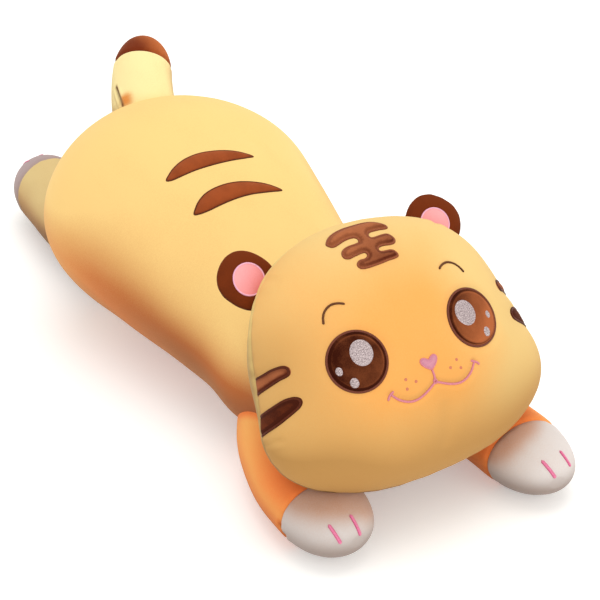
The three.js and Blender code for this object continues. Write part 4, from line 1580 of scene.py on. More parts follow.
@dataclass
class Head:
    """The wide pillow head: its face and back panels, its features and its marks."""

    wardrobe: Wardrobe
    skin: Surface = field(init=False)
    frame: Array = field(init=False)
    origin: Array = field(init=False)
    place: Place = (0.0, -370.3, 138.9)
    face_up: float = 35.3
    tilt: float = -2.5
    around: int = 264
    shape: Pillow = field(
        default_factory=lambda: Pillow(
            half_width=146.5, top_height=146, bottom_height=108, front_depth=72.6, back_depth=97.4,
            top_exponent=2.56, bottom_exponent=2.22, taper=0.14, edge_degrees=20
        )
    )
    eye_at: Flat = (62.2, 16)
    eye_half: Flat = (27.9, 28.8)
    glints: tuple[tuple[str, float, float, float, float], ...] = (
        ("eye_glint", 56.0, 21.4, 11.3, 12.9),
        ("eye_glint_outer", 79.4, 13.4, 3.2, 4.1),
        ("eye_glint_lower", 70.8, -0.6, 4.0, 4.9)
    )
    brow: Knots = ((50.8, 68.4), (56, 71.2), (62.5, 72.2), (69, 69.6), (73.6, 64.6), (76.4, 57.8))
    heart: Knots = (
        (0, -15.4), (3.2, -13.7), (6.2, -11.2), (8.4, -8.3), (9.1, -5.6), (8.2, -3.3), (6.0, -2.3),
        (3.6, -2.8), (1.4, -4.2)
    )
    smile: Knots = (
        (0, -26.6), (3.9, -28.6), (8.8, -31.2), (14.6, -33.7), (20, -35.2), (25.2, -35.6),
        (30.4, -34.6), (35.2, -32.4), (39.4, -29.4), (42.8, -25.6), (45, -22.4)
    )
    tick: Knots = ((41.6, -20.7), (45.4, -22.5), (48.0, -24.6), (49.6, -27))
    dots: tuple[tuple[str, float, float], ...] = (
        ("upper", 27.4, -14.9), ("inner", 18.6, -19.8), ("lower", 29.0, -23.3)
    )
    mark: Knots = (
        (-34.9, 126.6), (-31, 130.7), (-26.6, 133.4), (-21.8, 135.2), (-16, 136.4), (-8, 137.2),
        (0, 137), (8, 136.7), (15, 136), (20, 134.8), (24.5, 132.6), (28.4, 129.2), (30.6, 125.2),
        (29.6, 122.2), (26, 121.7), (20, 122.8), (13.6, 123.4), (9.4, 123.4), (6.9, 122),
        (6.0, 120.1), (7.2, 118.5), (11.8, 118.2), (17.6, 118.2), (22.6, 117.6), (25.4, 115.2),
        (26.8, 111.2), (25.9, 107.6), (22.8, 105.4), (18, 105.6), (13.4, 106.6), (9, 107),
        (6.2, 106.4), (5.2, 104.8), (6.4, 103), (11.3, 102.1), (15.6, 101.5), (18.6, 99.4),
        (20.1, 95.6), (18.8, 92.6), (14.6, 91.8), (8, 92), (0, 91.7), (-8, 91.7), (-16, 92.1),
        (-20.8, 93.5), (-22.7, 96.8), (-21.2, 100), (-17.4, 101.8), (-13, 101.5), (-9.8, 102.2),
        (-8, 104.2), (-8.8, 106.6), (-13, 106.9), (-20, 106.4), (-25.4, 105.9), (-28.8, 107.4),
        (-29.9, 110.4), (-28.2, 114.4), (-24.4, 116.9), (-19, 118.1), (-12, 118.1), (-7.9, 118.5),
        (-6.2, 120.8), (-7.6, 123.2), (-12, 124.1), (-18, 123.8), (-24, 122.5), (-29.6, 121.4),
        (-33.2, 122.8)
    )
    cheek_upper: Knots = (
        (140.5, 36.2), (137.2, 37.2), (130.5, 38.5), (122, 37.6), (117.6, 34.6), (116.8, 31),
        (118.2, 27.4), (122, 25.9), (128.5, 25.5), (135.6, 23.9), (143.8, 19.8)
    )
    cheek_lower: Knots = (
        (146.4, 2.4), (139.7, 6.3), (130.3, 8.4), (122.4, 7.4), (118, 4.4), (117.2, 0.8),
        (118.6, -2.2), (122, -4.8), (131.0, -8.8), (140.7, -12.9), (149.0, -17.4)
    )
    cheek_wrap: float = 64.0

    def __post_init__(self) -> None:
        """Works out the head's own frame in the row frame."""
        turn = Matrix.Rotation(math.radians(-self.face_up), 3, "X")
        lean = Matrix.Rotation(math.radians(self.tilt), 3, "Y")
        self.frame = np.array(turn @ lean)
        self.origin = np.array(self.place)

    def to_row(self, points: Array) -> Array:
        """Moves points from the head's own frame into the row frame."""
        return points @ self.frame.T + self.origin

    def form(self) -> tuple[StuffedForm, int]:
        """Lays the head's rings out.

        Returns:
            Its skin before its seams, and which of its rings is the face seam.
        """
        front = [-90, *np.linspace(-88.5, -3, 76), -1.8, -0.9, -0.35]
        back = [0.35, 0.9, 1.8, *np.linspace(3, 88.5, 60), 90]
        levels = [*front, 0, *back]
        rings = self.shape.rings(self.around, levels)
        return StuffedForm("head_plush", self.to_row(rings)), len(front)

    def flat_of(self, points: Array) -> tuple[Array, Array]:
        """The flat places, across and up, and the depths of points in the row frame."""
        local = (points - self.origin) @ self.frame
        return local[..., [0, 2]], local[..., 1]

    def build(self) -> None:
        """Makes the head, and everything that is sewn on it."""
        form, seam = self.form()
        form.stuff(voxel=5.0, inset=4.0, cap=4.6)
        form.soften(length=120, height=0.7, seed=11)
        form.push(self._fullness(form))
        form.push(self._stitch_pull(form))
        folds = [Crease(self._on_face(4, -45), self._on_face(1, -88), 1.3, 8, 0.2)]
        for side in Side:
            sign = side.value
            folds += [
                Crease(self._on_rim(sign, 118), self._on_face(sign * 89, 111), 1.3, 3.4),
                Crease(self._on_rim(sign, 28), self._on_face(sign * 119, 32), 1.5, 9, 0.1),
                Crease(self._on_rim(sign, -5), self._on_face(sign * 120, 2), 1.5, 10, 0.1)
            ]
        folds.append(Crease(self._on_rim(-1, -25), self._on_face(-139.5, -25), 1.0, 2.4, 0.3))
        form.fold(folds)
        form.sink_seam(seam, depth=1.9, width=3.2, seed=21, pucker=0.45)
        form.rest_on_floor()
        flat, _ = self.flat_of(form.rings)
        # Painted shade: the face darkens where it turns from a light above, and more low on the
        # tiger's right side.
        hollow = form.facing_away((-0.12, 0.0, 0.99), -0.3, 0.72)
        hollow += 0.4 * ease(-flat[..., 0], 40, 125) * (1 - ease(flat[..., 1], 40, 105))
        hollow = np.clip(hollow, 0, 1)
        face = form.panel("head_face_plush", 0, seam, self._face_tone(form), hollow)
        dress(
            face, Body.HEAD.value, ["head_face_panel"],
            self.wardrobe.face_plush
        )
        # Painted shade on the back panel where it turns down, and part of the face's.
        tone = form.turned_down(-0.6, 0.7)
        back = form.panel("head_back_plush", seam, len(form.rings) - 1, tone, 0.6 * hollow)
        dress(
            back, Body.HEAD.value, ["head_back_panel", "head_filling"],
            self.wardrobe.back_plush
        )
        self.skin = Surface(form)
        self._sew_mark()
        self._sew_nose()
        self._sew_mouth()
        for side in Side:
            self._sew_eye(side)
            self._sew_brow(side)
            self._sew_dots(side)
            self._sew_cheek(side)

    def _on_face(self, across: float, up: float) -> Array:
        """The row place of a flat place on the plain pillow's front."""
        depth = self.shape.front_depth_at(np.array(across), np.array(up))
        return self.to_row(np.array([across, -float(depth), up]))

    def _on_rim(self, side: int, up: float) -> Array:
        """The row place on the face seam at a height."""
        across = self.shape.reach_at(1.0, np.array(up))
        return self.to_row(np.array([side * float(across), 0.0, up]))

    def _fullness(self, form: StuffedForm) -> Array:
        """How the filling departs from an even pillow: held-in cheeks and crown, full jowls.

        Args:
            form: The head's form.

        Returns:
            The move along the normals.
        """
        flat, depth = self.flat_of(form.rings)
        across, up = flat[..., 0], flat[..., 1]
        side = ease(np.abs(across), 70, 125)
        cheeks = -4.2 * side * bell(up, 34, 32) * bell(depth, -22, 28)
        crown = -3.4 * bell(across, 42, 46) * ease(up, 80, 135) * bell(depth, -8, 40)
        right = 5.4 * ease(-across, 70, 125) * bell(up, -36, 40)
        left = ease(across, 70, 125)
        left *= 1.8 * bell(up, -60, 28) - 3.2 * bell(up, -8, 26)
        return cheeks + crown + (right + left) * bell(depth, -14, 45)

    def _face_tone(self, form: StuffedForm) -> Array:
        """The face's tone: apricot in its middle, straw towards its upper rim, and painted light.

        Args:
            form: The head's form.

        Returns:
            A shade from 0 to 1 for each point of the rings.
        """
        flat, _ = self.flat_of(form.rings)
        spread = self.shape.spread_at(flat[..., 0], flat[..., 1])
        rim = ease(spread, 0.3, 1.0) * (1 - 0.6 * ease(-flat[..., 1], 35, 100))
        # Painted light pales the tiger's left below the forehead, and the tiger's right side keeps
        # less straw on its rim.
        lit = 0.45 * ease(flat[..., 0], 15, 80) * (1 - ease(flat[..., 1], 60, 110))
        return np.clip(rim * (1 - 0.45 * ease(-flat[..., 0], 20, 110)) + lit, 0, 1)

    def _stitch_pull(self, form: StuffedForm) -> Array:
        """How far the stitches pull the face's cloth in, at each point of its rings.

        Args:
            form: The head's form.

        Returns:
            The move along the normals.
        """
        flat, depth = self.flat_of(form.rings)
        move = np.zeros(depth.shape)
        front = depth < -8
        chosen = flat[front]
        pulled = np.zeros(len(chosen))
        for side in Side:
            middle = np.array([side.value * self.eye_at[0], self.eye_at[1]])
            rim = closed_spline(ellipse(middle, self.eye_half), 3)
            pulled -= 1.1 * bell(outline_distance(chosen, rim), 0, 4.5)
            for knots, depth_here, width in ((self.brow, 0.9, 2.6), (self.smile, 1.0, 2.8)):
                line = open_spline([(side.value * a, b) for a, b in knots], 2)
                near = np.min(np.linalg.norm(chosen[:, None] - line[None, ::2], axis=2), axis=1)
                pulled -= depth_here * bell(near, 0, width)
        mark = closed_spline(self.mark, 3)
        pulled -= 0.9 * bell(outline_distance(chosen, mark), 0, 3.5)
        move[front] = pulled
        return move

    def _place_face(self, flat: Array, rise: float = 0.0) -> tuple[Array, Array]:
        """Drops flat places onto the face, straight back.

        Args:
            flat: Places across and up.
            rise: How far above the skin they come to lie.

        Returns:
            The places, and the skin's normals there.
        """
        depth = self.shape.front_depth_at(flat[:, 0], flat[:, 1])
        local = np.column_stack([flat[:, 0], -depth, flat[:, 1]])
        back = self.frame @ np.array([0.0, 1.0, 0.0])
        skin, normals = self.skin.drop(self.to_row(local), back, 30)
        return skin + normals * rise, normals

    def _place_rim(self, side: Side) -> Placer:
        """A placer for cloth that runs from the face seam inward round the cheek.

        Args:
            side: The side of the head.

        Returns:
            A placer of flat places: how far inward from the seam, and up.
        """
        shape = self.shape

        def place(flat: Array) -> tuple[Array, Array]:
            """Lays flat places round the cheek.

            Args:
                flat: Places inward from the seam, and up.

            Returns:
                The places on the skin, and its normals.
            """
            bend, up = np.clip(flat[:, 0], -2, None) / self.cheek_wrap, flat[:, 1]
            across = side.value * shape.reach_at(np.cos(bend), up)
            base = np.column_stack([across, -shape.front_depth * np.sin(bend), up])
            outward = np.column_stack(
                [side.value * np.cos(bend), -1.4 * np.sin(bend), 0.12 * np.ones(len(up))]
            )
            return self.skin.drop(self.to_row(base), -unit(outward) @ self.frame.T, 25)

        return place

    def _sew_patch(
        self, name: str, outline: Array, place: Placer, finish: PileFinish, thread: SatinFinish,
        replaced: str, slot: str, **sizes: object
    ) -> None:
        """Sews on a patch with its stitched edge.

        Args:
            name: The patch's name.
            outline: Its outline.
            place: Where flat places lie on the skin.
            finish: The patch's cloth.
            thread: The edge's thread.
            replaced: The CAD node that it stands for.
            slot: A material slot name; not used.
            **sizes: Fields of the patch that differ from the usual.
        """
        patch = Patch(name, outline, place, finish, **sizes)
        dress(patch.build(), Body.HEAD.value, [replaced])
        width = patch.edge_width
        edge = patch.edge(f"{name}_edge", width * 0.42, thread, width, 1.0)
        dress(edge.build(), Body.HEAD.value)

    def _sew_mark(self) -> None:
        """Sews the forehead mark."""
        middle = np.mean(self.mark, 0)

        def nap(flat: Array, depth: Array) -> Array:
            """Painted shade: darker down the mark, and in the groove beside the stitches."""
            lean = ease((flat - middle) @ np.array([0.6, -0.9]), -16, 26)
            return 0.15 + 0.42 * lean + 0.6 * bell(depth, 3.1, 0.7)

        self._sew_patch(
            "forehead_mark_velvet", closed_spline(self.mark, 1.2), self._place_face,
            self.wardrobe.mark_velvet, self.wardrobe.mark_thread, "forehead_mark", "brown_plush",
            edge_width=2.5, puff=3.0, puff_reach=2.6, mesh_step=1.4, tone=nap
        )

    def _sew_nose(self) -> None:
        """Sews the heart-shaped nose."""
        half = list(self.heart)
        knots = half + [(0, -5.2)] + [(-a, b) for a, b in reversed(half[1:])]
        outline = closed_spline(knots, 0.9)
        patch = Patch(
            "nose_satin", outline, self._place_face, self.wardrobe.heart_thread, edge_width=0.8,
            puff=1.3, puff_reach=2.4, mesh_step=1.2
        )
        dress(patch.build(), Body.HEAD.value, ["nose"])
        edge = patch.edge("nose_satin_edge", 0.7, self.wardrobe.rose_thread, 1.6, 0.8)
        dress(edge.build(), Body.HEAD.value)

    def _sew_mouth(self) -> None:
        """Sews the mouth: the lip line, the smile and its end ticks."""
        thread, size = self.wardrobe.rose_thread, (LINE_WIDTH, LINE_HEIGHT)
        paths = [[(0, -14.8), (0.2, -20.5), (0, -26.6)]]
        for side in Side:
            paths += [[(side.value * a, b) for a, b in part] for part in (self.smile, self.tick)]
        lines = [
            StitchedLine("mouth", open_spline(path, LINE_STEP), self._place_face, thread, *size)
            for path in paths
        ]
        # The lip line parts into a small diamond where it meets the smile.
        diamond = closed_spline([(0, -23.6), (1.7, -25.8), (0, -28.2), (-1.7, -25.8)], 0.7)
        lines.append(
            StitchedLine("meeting", diamond, self._place_face, thread, 1.6, 1.0, closed=True)
        )
        dress(joined_lines("mouth_stitches", lines), Body.HEAD.value, ["mouth"])

    def _sew_eye(self, side: Side) -> None:
        """Sews an eye and its three highlights.

        Args:
            side: The side of the head.
        """
        middle = (side.value * self.eye_at[0], self.eye_at[1])
        outline = closed_spline(ellipse(middle, self.eye_half), 1.5)
        # The tiger's right eye is painted darker than its left, and leaning sets a painted slope
        # of shade across each.
        base, leaning = (0.85, 0.16) if side is Side.RIGHT else (0.34, 0.7)

        def nap(flat: Array, depth: Array) -> Array:
            """Painted shading: a shade slope across the eye, groove shade and a ridge highlight.

            Args:
                flat: Places across and up.
                depth: Their distances inside the outline.

            Returns:
                The shades.
            """
            lean = (flat - middle) @ np.array([-0.6, 0.6]) / self.eye_half[0]
            groove = 0.8 * bell(depth, 3.3, 0.8)
            # The painted highlight on the ridge is strongest up and towards the tiger's left.
            lit = 0.3 + 0.7 * ease((flat - middle) @ np.array([0.8, 0.6]), 0, 20)
            ridge = 0.28 * lit * bell(depth, 5.2, 0.8)
            return np.clip(base + leaning * lean + groove - ridge, 0, 1)

        self._sew_patch(
            f"eye_{side.label}_velvet", outline, self._place_face, self.wardrobe.eye_velvet,
            self.wardrobe.umber_thread, f"eye_{side.label}", "eye_cloth", edge_width=2.6, puff=2.2,
            puff_reach=6, mesh_step=2.0, tone=nap,
            rows=(0.5, 1.1, 1.8, 2.6, 3.3, 4.2, 5.2, 6.3, 7.6)
        )
        for name, across, up, half_width, half_height in self.glints:
            ring = ellipse((side.value * across - 1.5, up), (half_width, half_height))
            glint = Patch(
                f"{name}_{side.label}_stitches", closed_spline(ring, 0.8),
                partial(self._place_face, rise=1.9), self.wardrobe.silver_thread, edge_width=0.8,
                puff=0.7, puff_reach=1.5, mesh_step=1.3
            )
            dress(glint.build(), Body.HEAD.value, [f"{name}_{side.label}"])

    def _sew_brow(self, side: Side) -> None:
        """Sews a brow.

        Args:
            side: The side of the head.
        """
        path = open_spline([(side.value * a, b) for a, b in self.brow], LINE_STEP)
        line = StitchedLine(
            f"brow_{side.label}_stitches", path, self._place_face, self.wardrobe.brow_thread,
            LINE_WIDTH, LINE_HEIGHT
        )
        dress(line.build(), Body.HEAD.value, [f"brow_{side.label}"])

    def _sew_dots(self, side: Side) -> None:
        """Sews the three whisker dots of a cheek.

        Args:
            side: The side of the head.
        """
        for name, across, up in self.dots:
            knots = ellipse((side.value * across, up), (1.5, 1.5))
            dot = Patch(
                f"whisker_dot_{name}_{side.label}_stitches", closed_spline(knots, 0.6),
                self._place_face, self.wardrobe.dot_thread, edge_width=0.4, puff=0.3,
                puff_reach=1.0, mesh_step=0.8, base=0.2
            )
            replaced = [f"whisker_dot_{name}_{side.label}"]
            dress(dot.build(), Body.HEAD.value, replaced)

    def _sew_cheek(self, side: Side) -> None:
        """Sews the two stripes of a cheek, which run out from under the face seam.

        Args:
            side: The side of the head.
        """
        # The left cheek's stripes sit a little higher and further in than the right one's.
        shift = np.array([-2.5, 3.5]) if side is Side.LEFT else np.zeros(2)
        for name, knots in (("upper", self.cheek_upper), ("lower", self.cheek_lower)):
            moved = np.array(knots) + shift
            spread = np.clip(self.shape.spread_at(moved[:, 0], moved[:, 1]), 0, 1)
            wrapped = np.column_stack([self.cheek_wrap * np.arccos(spread), moved[:, 1]])
            wrapped[[0, -1], 0] = 0
            rows = open_spline(wrapped, 1.4)
            closing = even_steps(wrapped[[-1, 0]], 1.4)[1:-1]
            outline = np.vstack([rows, closing])
            self._sew_cheek_stripe(name, side, outline, rows)

    def _sew_cheek_stripe(self, name: str, side: Side, outline: Array, rows: Array) -> None:
        """Sews one cheek stripe.

        Args:
            name: Which of the two it is.
            side: The side of the head.
            outline: The whole outline.
            rows: The outline's stitched part, without its end in the seam.
        """
        place = self._place_rim(side)
        base, cloth = 0.88, self.wardrobe.stripe_velvet
        if name == "upper":
            base, cloth = 0.28, self.wardrobe.mark_velvet
        slope = np.polyfit(outline[:, 0], outline[:, 1], 1)

        def nap(flat: Array, depth: Array) -> Array:
            """Painted shade in the groove beside the stitches, most along the lower edge."""
            low = ease(np.polyval(slope, flat[:, 0]) - flat[:, 1], -2, 4)
            return base + (0.35 + 0.5 * low) * bell(depth, 2.9, 1.5)

        patch = Patch(
            f"cheek_stripe_{name}_{side.label}_velvet", outline, place, cloth, edge_width=2.6,
            puff=1.8, puff_reach=3.0, mesh_step=1.6, tone=nap
        )
        replaced = [f"cheek_stripe_{name}_{side.label}"]
        dress(patch.build(), Body.HEAD.value, replaced)
        inner = inward(outline, 1.4)[: len(rows)]
        edge = StitchedLine(
            f"cheek_stripe_{name}_{side.label}_edge", inner, place, self.wardrobe.brown_thread,
            width=3.0, height=1.0
        )
        dress(edge.build(), Body.HEAD.value)


@dataclass
class Ear:
    """A padded round ear with a lined dish."""

    wardrobe: Wardrobe
    side: Side
    origin: Place
    across: Place
    outward: Place
    slide: float
    rise: float
    half_width: float
    lining_radius: float
    dish: float = 3.6

    def to_row(self, points: Array) -> Array:
        """Moves points from the ear's own frame into the row frame."""
        frame = np.array([self.across, np.cross(self.outward, self.across), self.outward])
        return points @ frame + np.array(self.origin)

    def build(self) -> None:
        """Makes the ear and its lining."""
        levels = [-90, *np.linspace(-87, 87, 45), 90]
        shape = Pillow(
            self.half_width, top_height=30, bottom_height=30, front_depth=8, back_depth=7,
            top_exponent=2.3, bottom_exponent=2.3
        )
        rings = shape.rings(88, levels) + [self.slide, 0, self.rise]
        away = np.linalg.norm(rings[..., [0, 2]] - [self.slide, self.rise], axis=-1)
        front = rings[..., 1] < 0
        rings[..., 1] += front * self.dish * np.exp(-((away / 16) ** 4))
        form = StuffedForm(f"ear_{self.side.label}_velvet", self.to_row(rings))
        form.stuff(voxel=2.5, inset=0.8, cap=1.4)
        form.sink_seam(23, depth=0.8, width=1.8, seed=31, pucker=0.25)
        # Painted shade where the ear turns down.
        tone = form.turned_down(-0.6, 0.7)
        body = Body.EAR.of(self.side)
        cover = form.panel(form.name, 0, len(form.rings) - 1, tone)
        dress(
            cover, body, [f"ear_{self.side.label}"], self.wardrobe.ear_velvet
        )
        skin = Surface(form)

        def place(flat: Array) -> tuple[Array, Array]:
            """Drops flat places onto the ear's front."""
            local = np.insert(flat, 1, -9.0, axis=1)
            return skin.drop(self.to_row(local), np.cross(self.outward, self.across), 12)

        half = (self.lining_radius, self.lining_radius)
        outline = closed_spline(ellipse((self.slide, self.rise), half, 18), 1.2)
        lining = Patch(
            f"ear_lining_{self.side.label}_velvet", outline, place, self.wardrobe.lining,
            edge_width=1.4, puff=0.9, puff_reach=4, mesh_step=1.8,
            tone=lambda flat, depth: np.clip(0.4 - (flat[:, 1] - self.rise) / 36, 0, 1)
        )
        dress(lining.build(), body, [f"ear_lining_{self.side.label}"])
        name = f"ear_lining_{self.side.label}_edge"
        edge = lining.edge(name, 0.5, self.wardrobe.rim_thread, 1.8, 0.9)
        dress(edge.build(), body)


@dataclass
class Limb:
    """A stuffed limb: a sleeve and a cap of another cloth, along a bent middle line."""

    wardrobe: Wardrobe
    name: str
    cap_name: str
    body: str
    sleeve_finish: PileFinish
    cap_finish: PileFinish
    cap_slot: str
    root: Place
    bend: Place
    tip: Place
    upward: Place
    root_radius: float
    tip_half_width: float
    tip_half_height: float
    seam_share: float
    rounding: float
    exponent: float
    around: int = 96
    on_floor: bool = True
    creases: tuple[Crease, ...] = ()
    toe_lines: dict[str, tuple[Place, ...]] = field(default_factory=dict)
    toe_way: Place = (0.0, 1.0, 0.0)
    sole_seam: float | None = None
    # The fields from here to the end set painted shade; glow is how far the head's painted shadow
    # reaches over a paw.
    shade_turn: Flat = (-0.7, 0.6)
    shade_top: float = 0.0
    hollow_turn: Flat = (-0.4, 0.5)
    cap_tone: Callable[[Array], Array] | None = None
    cap_hollow: float = 0.0
    sleeve_hollow: float = 0.0
    blush: Place | None = None
    glow: float = 25.0

    def _middle(self, share: float) -> Array:
        """The middle line's point at a share of its length."""
        a, b, c = map(np.array, (self.root, self.bend, self.tip))
        return (1 - share) ** 2 * a + 2 * share * (1 - share) * b + share**2 * c

    def _ring(self, share: float, squeeze: float, back: float = 0.0) -> Array:
        """One ring across the limb.

        Args:
            share: Its place along the middle line.
            squeeze: Its size share.
            back: How far it stands behind that place.

        Returns:
            The ring's points.
        """
        a, b, c = map(np.array, (self.root, self.bend, self.tip))
        ahead = unit(2 * (1 - share) * (b - a) + 2 * share * (c - b))
        aside = unit(np.cross(ahead, self.upward))
        above = np.cross(aside, ahead)
        half_width = self.root_radius + (self.tip_half_width - self.root_radius) * share
        half_height = self.root_radius + (self.tip_half_height - self.root_radius) * share
        turn = np.linspace(0, FULL_TURN, self.around, endpoint=False)[:, None]
        middle = self._middle(share) - ahead * back
        return (
            middle + aside * half_width * squeeze * np.cos(turn)
            + above * half_height * squeeze * np.sin(turn)
        )

    def form(self) -> tuple[StuffedForm, int]:
        """Lays the limb's rings out.

        Returns:
            Its skin before its seams, and which of its rings is the seam.
        """
        rows = []
        for bend in np.radians(np.linspace(90, 0, 8, endpoint=False)):
            rows.append(self._ring(0, math.cos(bend), self.root_radius * math.sin(bend)))
        straight = 1 - self.rounding
        length = np.linalg.norm(np.subtract(self.tip, self.root))
        near = [step / length for step in (0.5, 1.2, 2.2, 3.6, 5.4)]
        shares = set(np.linspace(0, straight, 44))
        bends = np.radians(np.linspace(0, 90, 40))
        capped = [straight + self.rounding * math.sin(b) ** (2 / self.exponent) for b in bends]
        shares |= {*capped, self.seam_share}
        shares |= {self.seam_share + step * sign for step in near for sign in (-1, 1)}
        ordered = sorted(shares)
        kept = [ordered[0]]
        for share in ordered[1:]:
            close = share - kept[-1] < 0.25 / length
            if close and share != self.seam_share and share < 1:
                continue
            if close:
                kept.pop()
            kept.append(share)
        start = len(rows)
        for share in kept:
            if share <= straight:
                squeeze = 1.0
            else:
                sine = min(1.0, (share - straight) / self.rounding) ** (self.exponent / 2)
                squeeze = math.sqrt(max(0.0, 1 - sine**2)) ** (2 / self.exponent)
            rows.append(self._ring(share, squeeze))
        return StuffedForm(self.name, np.array(rows)), start + kept.index(self.seam_share)

    def build(self, torso: Surface, head: Surface | None = None) -> None:
        """Makes the limb's sleeve, its cap and its toe lines.

        Args:
            torso: The body's skin, beside which the sleeve gets painted shade, and painted
                bounce light when a head is given.
            head: The head's skin, where it lies over the limb. Beside it the sleeve gets
                painted bounce light and the cap a painted shadow.
        """
        form, seam = self.form()
        form.stuff(voxel=5.0, inset=2.4, cap=3.0)
        form.soften(length=90, height=0.6, seed=len(self.name) * 7)
        form.sink_seam(seam, depth=1.6, width=2.8, seed=len(self.name), pucker=0.5)
        fold_shadowed = form.fold(self.creases)
        if self.on_floor:
            form.rest_on_floor(4.0, 12.0)
        if self.sole_seam is not None:
            height = form.rings[..., 2]
            cap_share = (np.arange(len(form.rings)) > seam + 4)[:, None]
            form.push(-0.9 * bell(height, self.sole_seam, 2.2) * cap_share)
        # Painted shade: the tone turns the sleeve to its shade colour where it turns down, and the
        # second attribute darkens it where it turns down and in its creases.
        tone = np.clip(form.turned_down(*self.shade_turn) + self.shade_top, 0, 1)
        pressed = self.sleeve_hollow * form.turned_down(*self.hollow_turn)
        pressed = np.maximum(pressed, fold_shadowed)
        # A painted shade spot round a given place, the lower end of the tail's slit.
        if self.blush is not None:
            away = np.linalg.norm(form.rings - self.blush, axis=-1)
            tone = np.maximum(tone, bell(away, away.min(), 6))
        cap_tone = self.cap_tone(form.rings) if self.cap_tone else np.zeros_like(tone)
        # Painted shade beside the body, and on the cloth under it near the body.
        if head is None:
            beside = torso.nearness(form.rings, 34)
            pressed = np.maximum(pressed, self.sleeve_hollow * beside)
            under = torso.nearness(form.rings, 85) * form.turned_down(-0.6, 0.3)
            pressed = np.clip(pressed + 0.8 * under, 0, 1)
        else:
            # Painted bounce light: the cloth turns orange where the head and the body lie against
            # it.
            painted_bounce = np.maximum(head.nearness(form.rings, 44), torso.nearness(form.rings, 8))
            tone = np.maximum(tone, painted_bounce)
            # A painted shadow of the head on the paw.
            cap_tone = 0.85 * ease(head.nearness(form.rings, self.glow), 0.1, 0.8)
        sleeve = form.panel(f"{self.name}_plush", 0, seam, tone, pressed)
        dress(
            sleeve, self.body, [self.name, f"{self.name}_filling"],
            self.sleeve_finish
        )
        # Painted shade on the cap where it turns down, over a given base shade.
        hollow = self.cap_hollow + (1 - self.cap_hollow) * form.turned_down(-0.7, 0.6)
        cap = form.panel(f"{self.cap_name}_plush", seam, len(form.rings) - 1, cap_tone, hollow)
        dress(cap, self.body, [self.cap_name], self.cap_finish)
        skin = Surface(form)

        def place(points: Array) -> tuple[Array, Array]:
            """Moves a toe line's places onto the foot."""
            return skin.drop(points, np.array(self.toe_way), 60)

        for line_name, knots in self.toe_lines.items():
            line = StitchedLine(
                f"{self.cap_name}_toe_stitches_{line_name}",
                even_steps(np.array(knots, float), 0.9), place, self.wardrobe.toe_thread,
                width=3.4, height=0.8 if self.on_floor and head is None else 1.3, lift=0.1
            )
            replaced = [f"{self.cap_name}_toe_line_{line_name}"]
            dress(line.build(), self.body, replaced)


@dataclass
class Studio:
    """A white light table, soft light from above and the photograph's camera."""

    azimuth: float = -26.62
    elevation: float = 28.06
    roll: float = -4.06
    distance: float = 1811.94
    target: Place = (20.5, -142.5, 103.35)
    focal_pixels: float = 1703.47
    frame_pixels: float = 600
    sensor: float = 36.0

    def build(self) -> None:
        """Sets the floor, the light and the camera."""
        self._floor()
        self._light()
        self._camera()
        bpy.context.scene.view_settings.view_transform = "Standard"

    def _floor(self) -> None:
        """Lays the light table out."""
        bpy.ops.object.select_all(action="DESELECT")
        bpy.ops.mesh.primitive_plane_add(size=24, location=(0, 0, 0))
        floor = bpy.context.active_object
        floor.name = "studio_table"
        floor.data.materials.append(LightTableFinish().material())

    def _light(self) -> None:
        """Hangs a large soft light above, a fill in front and a pale surrounding."""
        world = bpy.data.worlds.new("studio_air")
        world.use_nodes = True
        backdrop = world.node_tree.nodes["Background"]
        backdrop.inputs["Color"].default_value = (1.0, 0.99, 0.97, 1.0)
        backdrop.inputs["Strength"].default_value = 0.78
        bpy.context.scene.world = world
        self._panel("overhead", (0.45, 0.3, 2.6), 2.6, 30, (1.0, 0.985, 0.96))
        self._panel("front_fill", (0.3, -2.8, 1.2), 1.8, 16, (1.0, 0.985, 0.96))

    @staticmethod
    def _panel(name: str, place: Place, size: float, power: float, colour: Place) -> None:
        """Hangs one soft panel that looks at the toy.

        Args:
            name: The lamp's name.
            place: Where it hangs, in metres.
            size: The length of its side, in metres.
            power: Its power in watts.
            colour: Its linear colour.
        """
        lamp = bpy.data.lights.new(name, "AREA")
        lamp.shape = "SQUARE"
        lamp.size, lamp.energy, lamp.color = size, power, colour
        holder = bpy.data.objects.new(name, lamp)
        holder.location = place
        look = Vector((0.0, -0.1, 0.1)) - Vector(place)
        holder.rotation_euler = look.to_track_quat("-Z", "Y").to_euler()
        bpy.context.scene.collection.objects.link(holder)

    def _camera(self) -> None:
        """Stands the camera where the photograph was taken from."""
        az, el, roll = (math.radians(v) for v in (self.azimuth, self.elevation, self.roll))
        back = Vector((math.sin(az) * math.cos(el), -math.cos(az) * math.cos(el), math.sin(el)))
        level = Vector((math.cos(az), math.sin(az), 0.0))
        upward = back.cross(level)
        right = level * math.cos(roll) + upward * math.sin(roll)
        up = upward * math.cos(roll) - level * math.sin(roll)
        lens = bpy.data.cameras.new("photo_camera")
        lens.sensor_fit = "HORIZONTAL"
        lens.sensor_width = self.sensor
        lens.lens = self.focal_pixels / self.frame_pixels * self.sensor
        lens.clip_start, lens.clip_end = 0.05, 50
        camera = bpy.data.objects.new("photo_camera", lens)
        bpy.context.scene.collection.objects.link(camera)
        place = (Vector(self.target) + back * self.distance) * MM
        turn = Matrix((right, up, back)).transposed().to_4x4()
        camera.matrix_world = Matrix.Translation(place) @ turn
        bpy.context.scene.camera = camera


# The whole toy


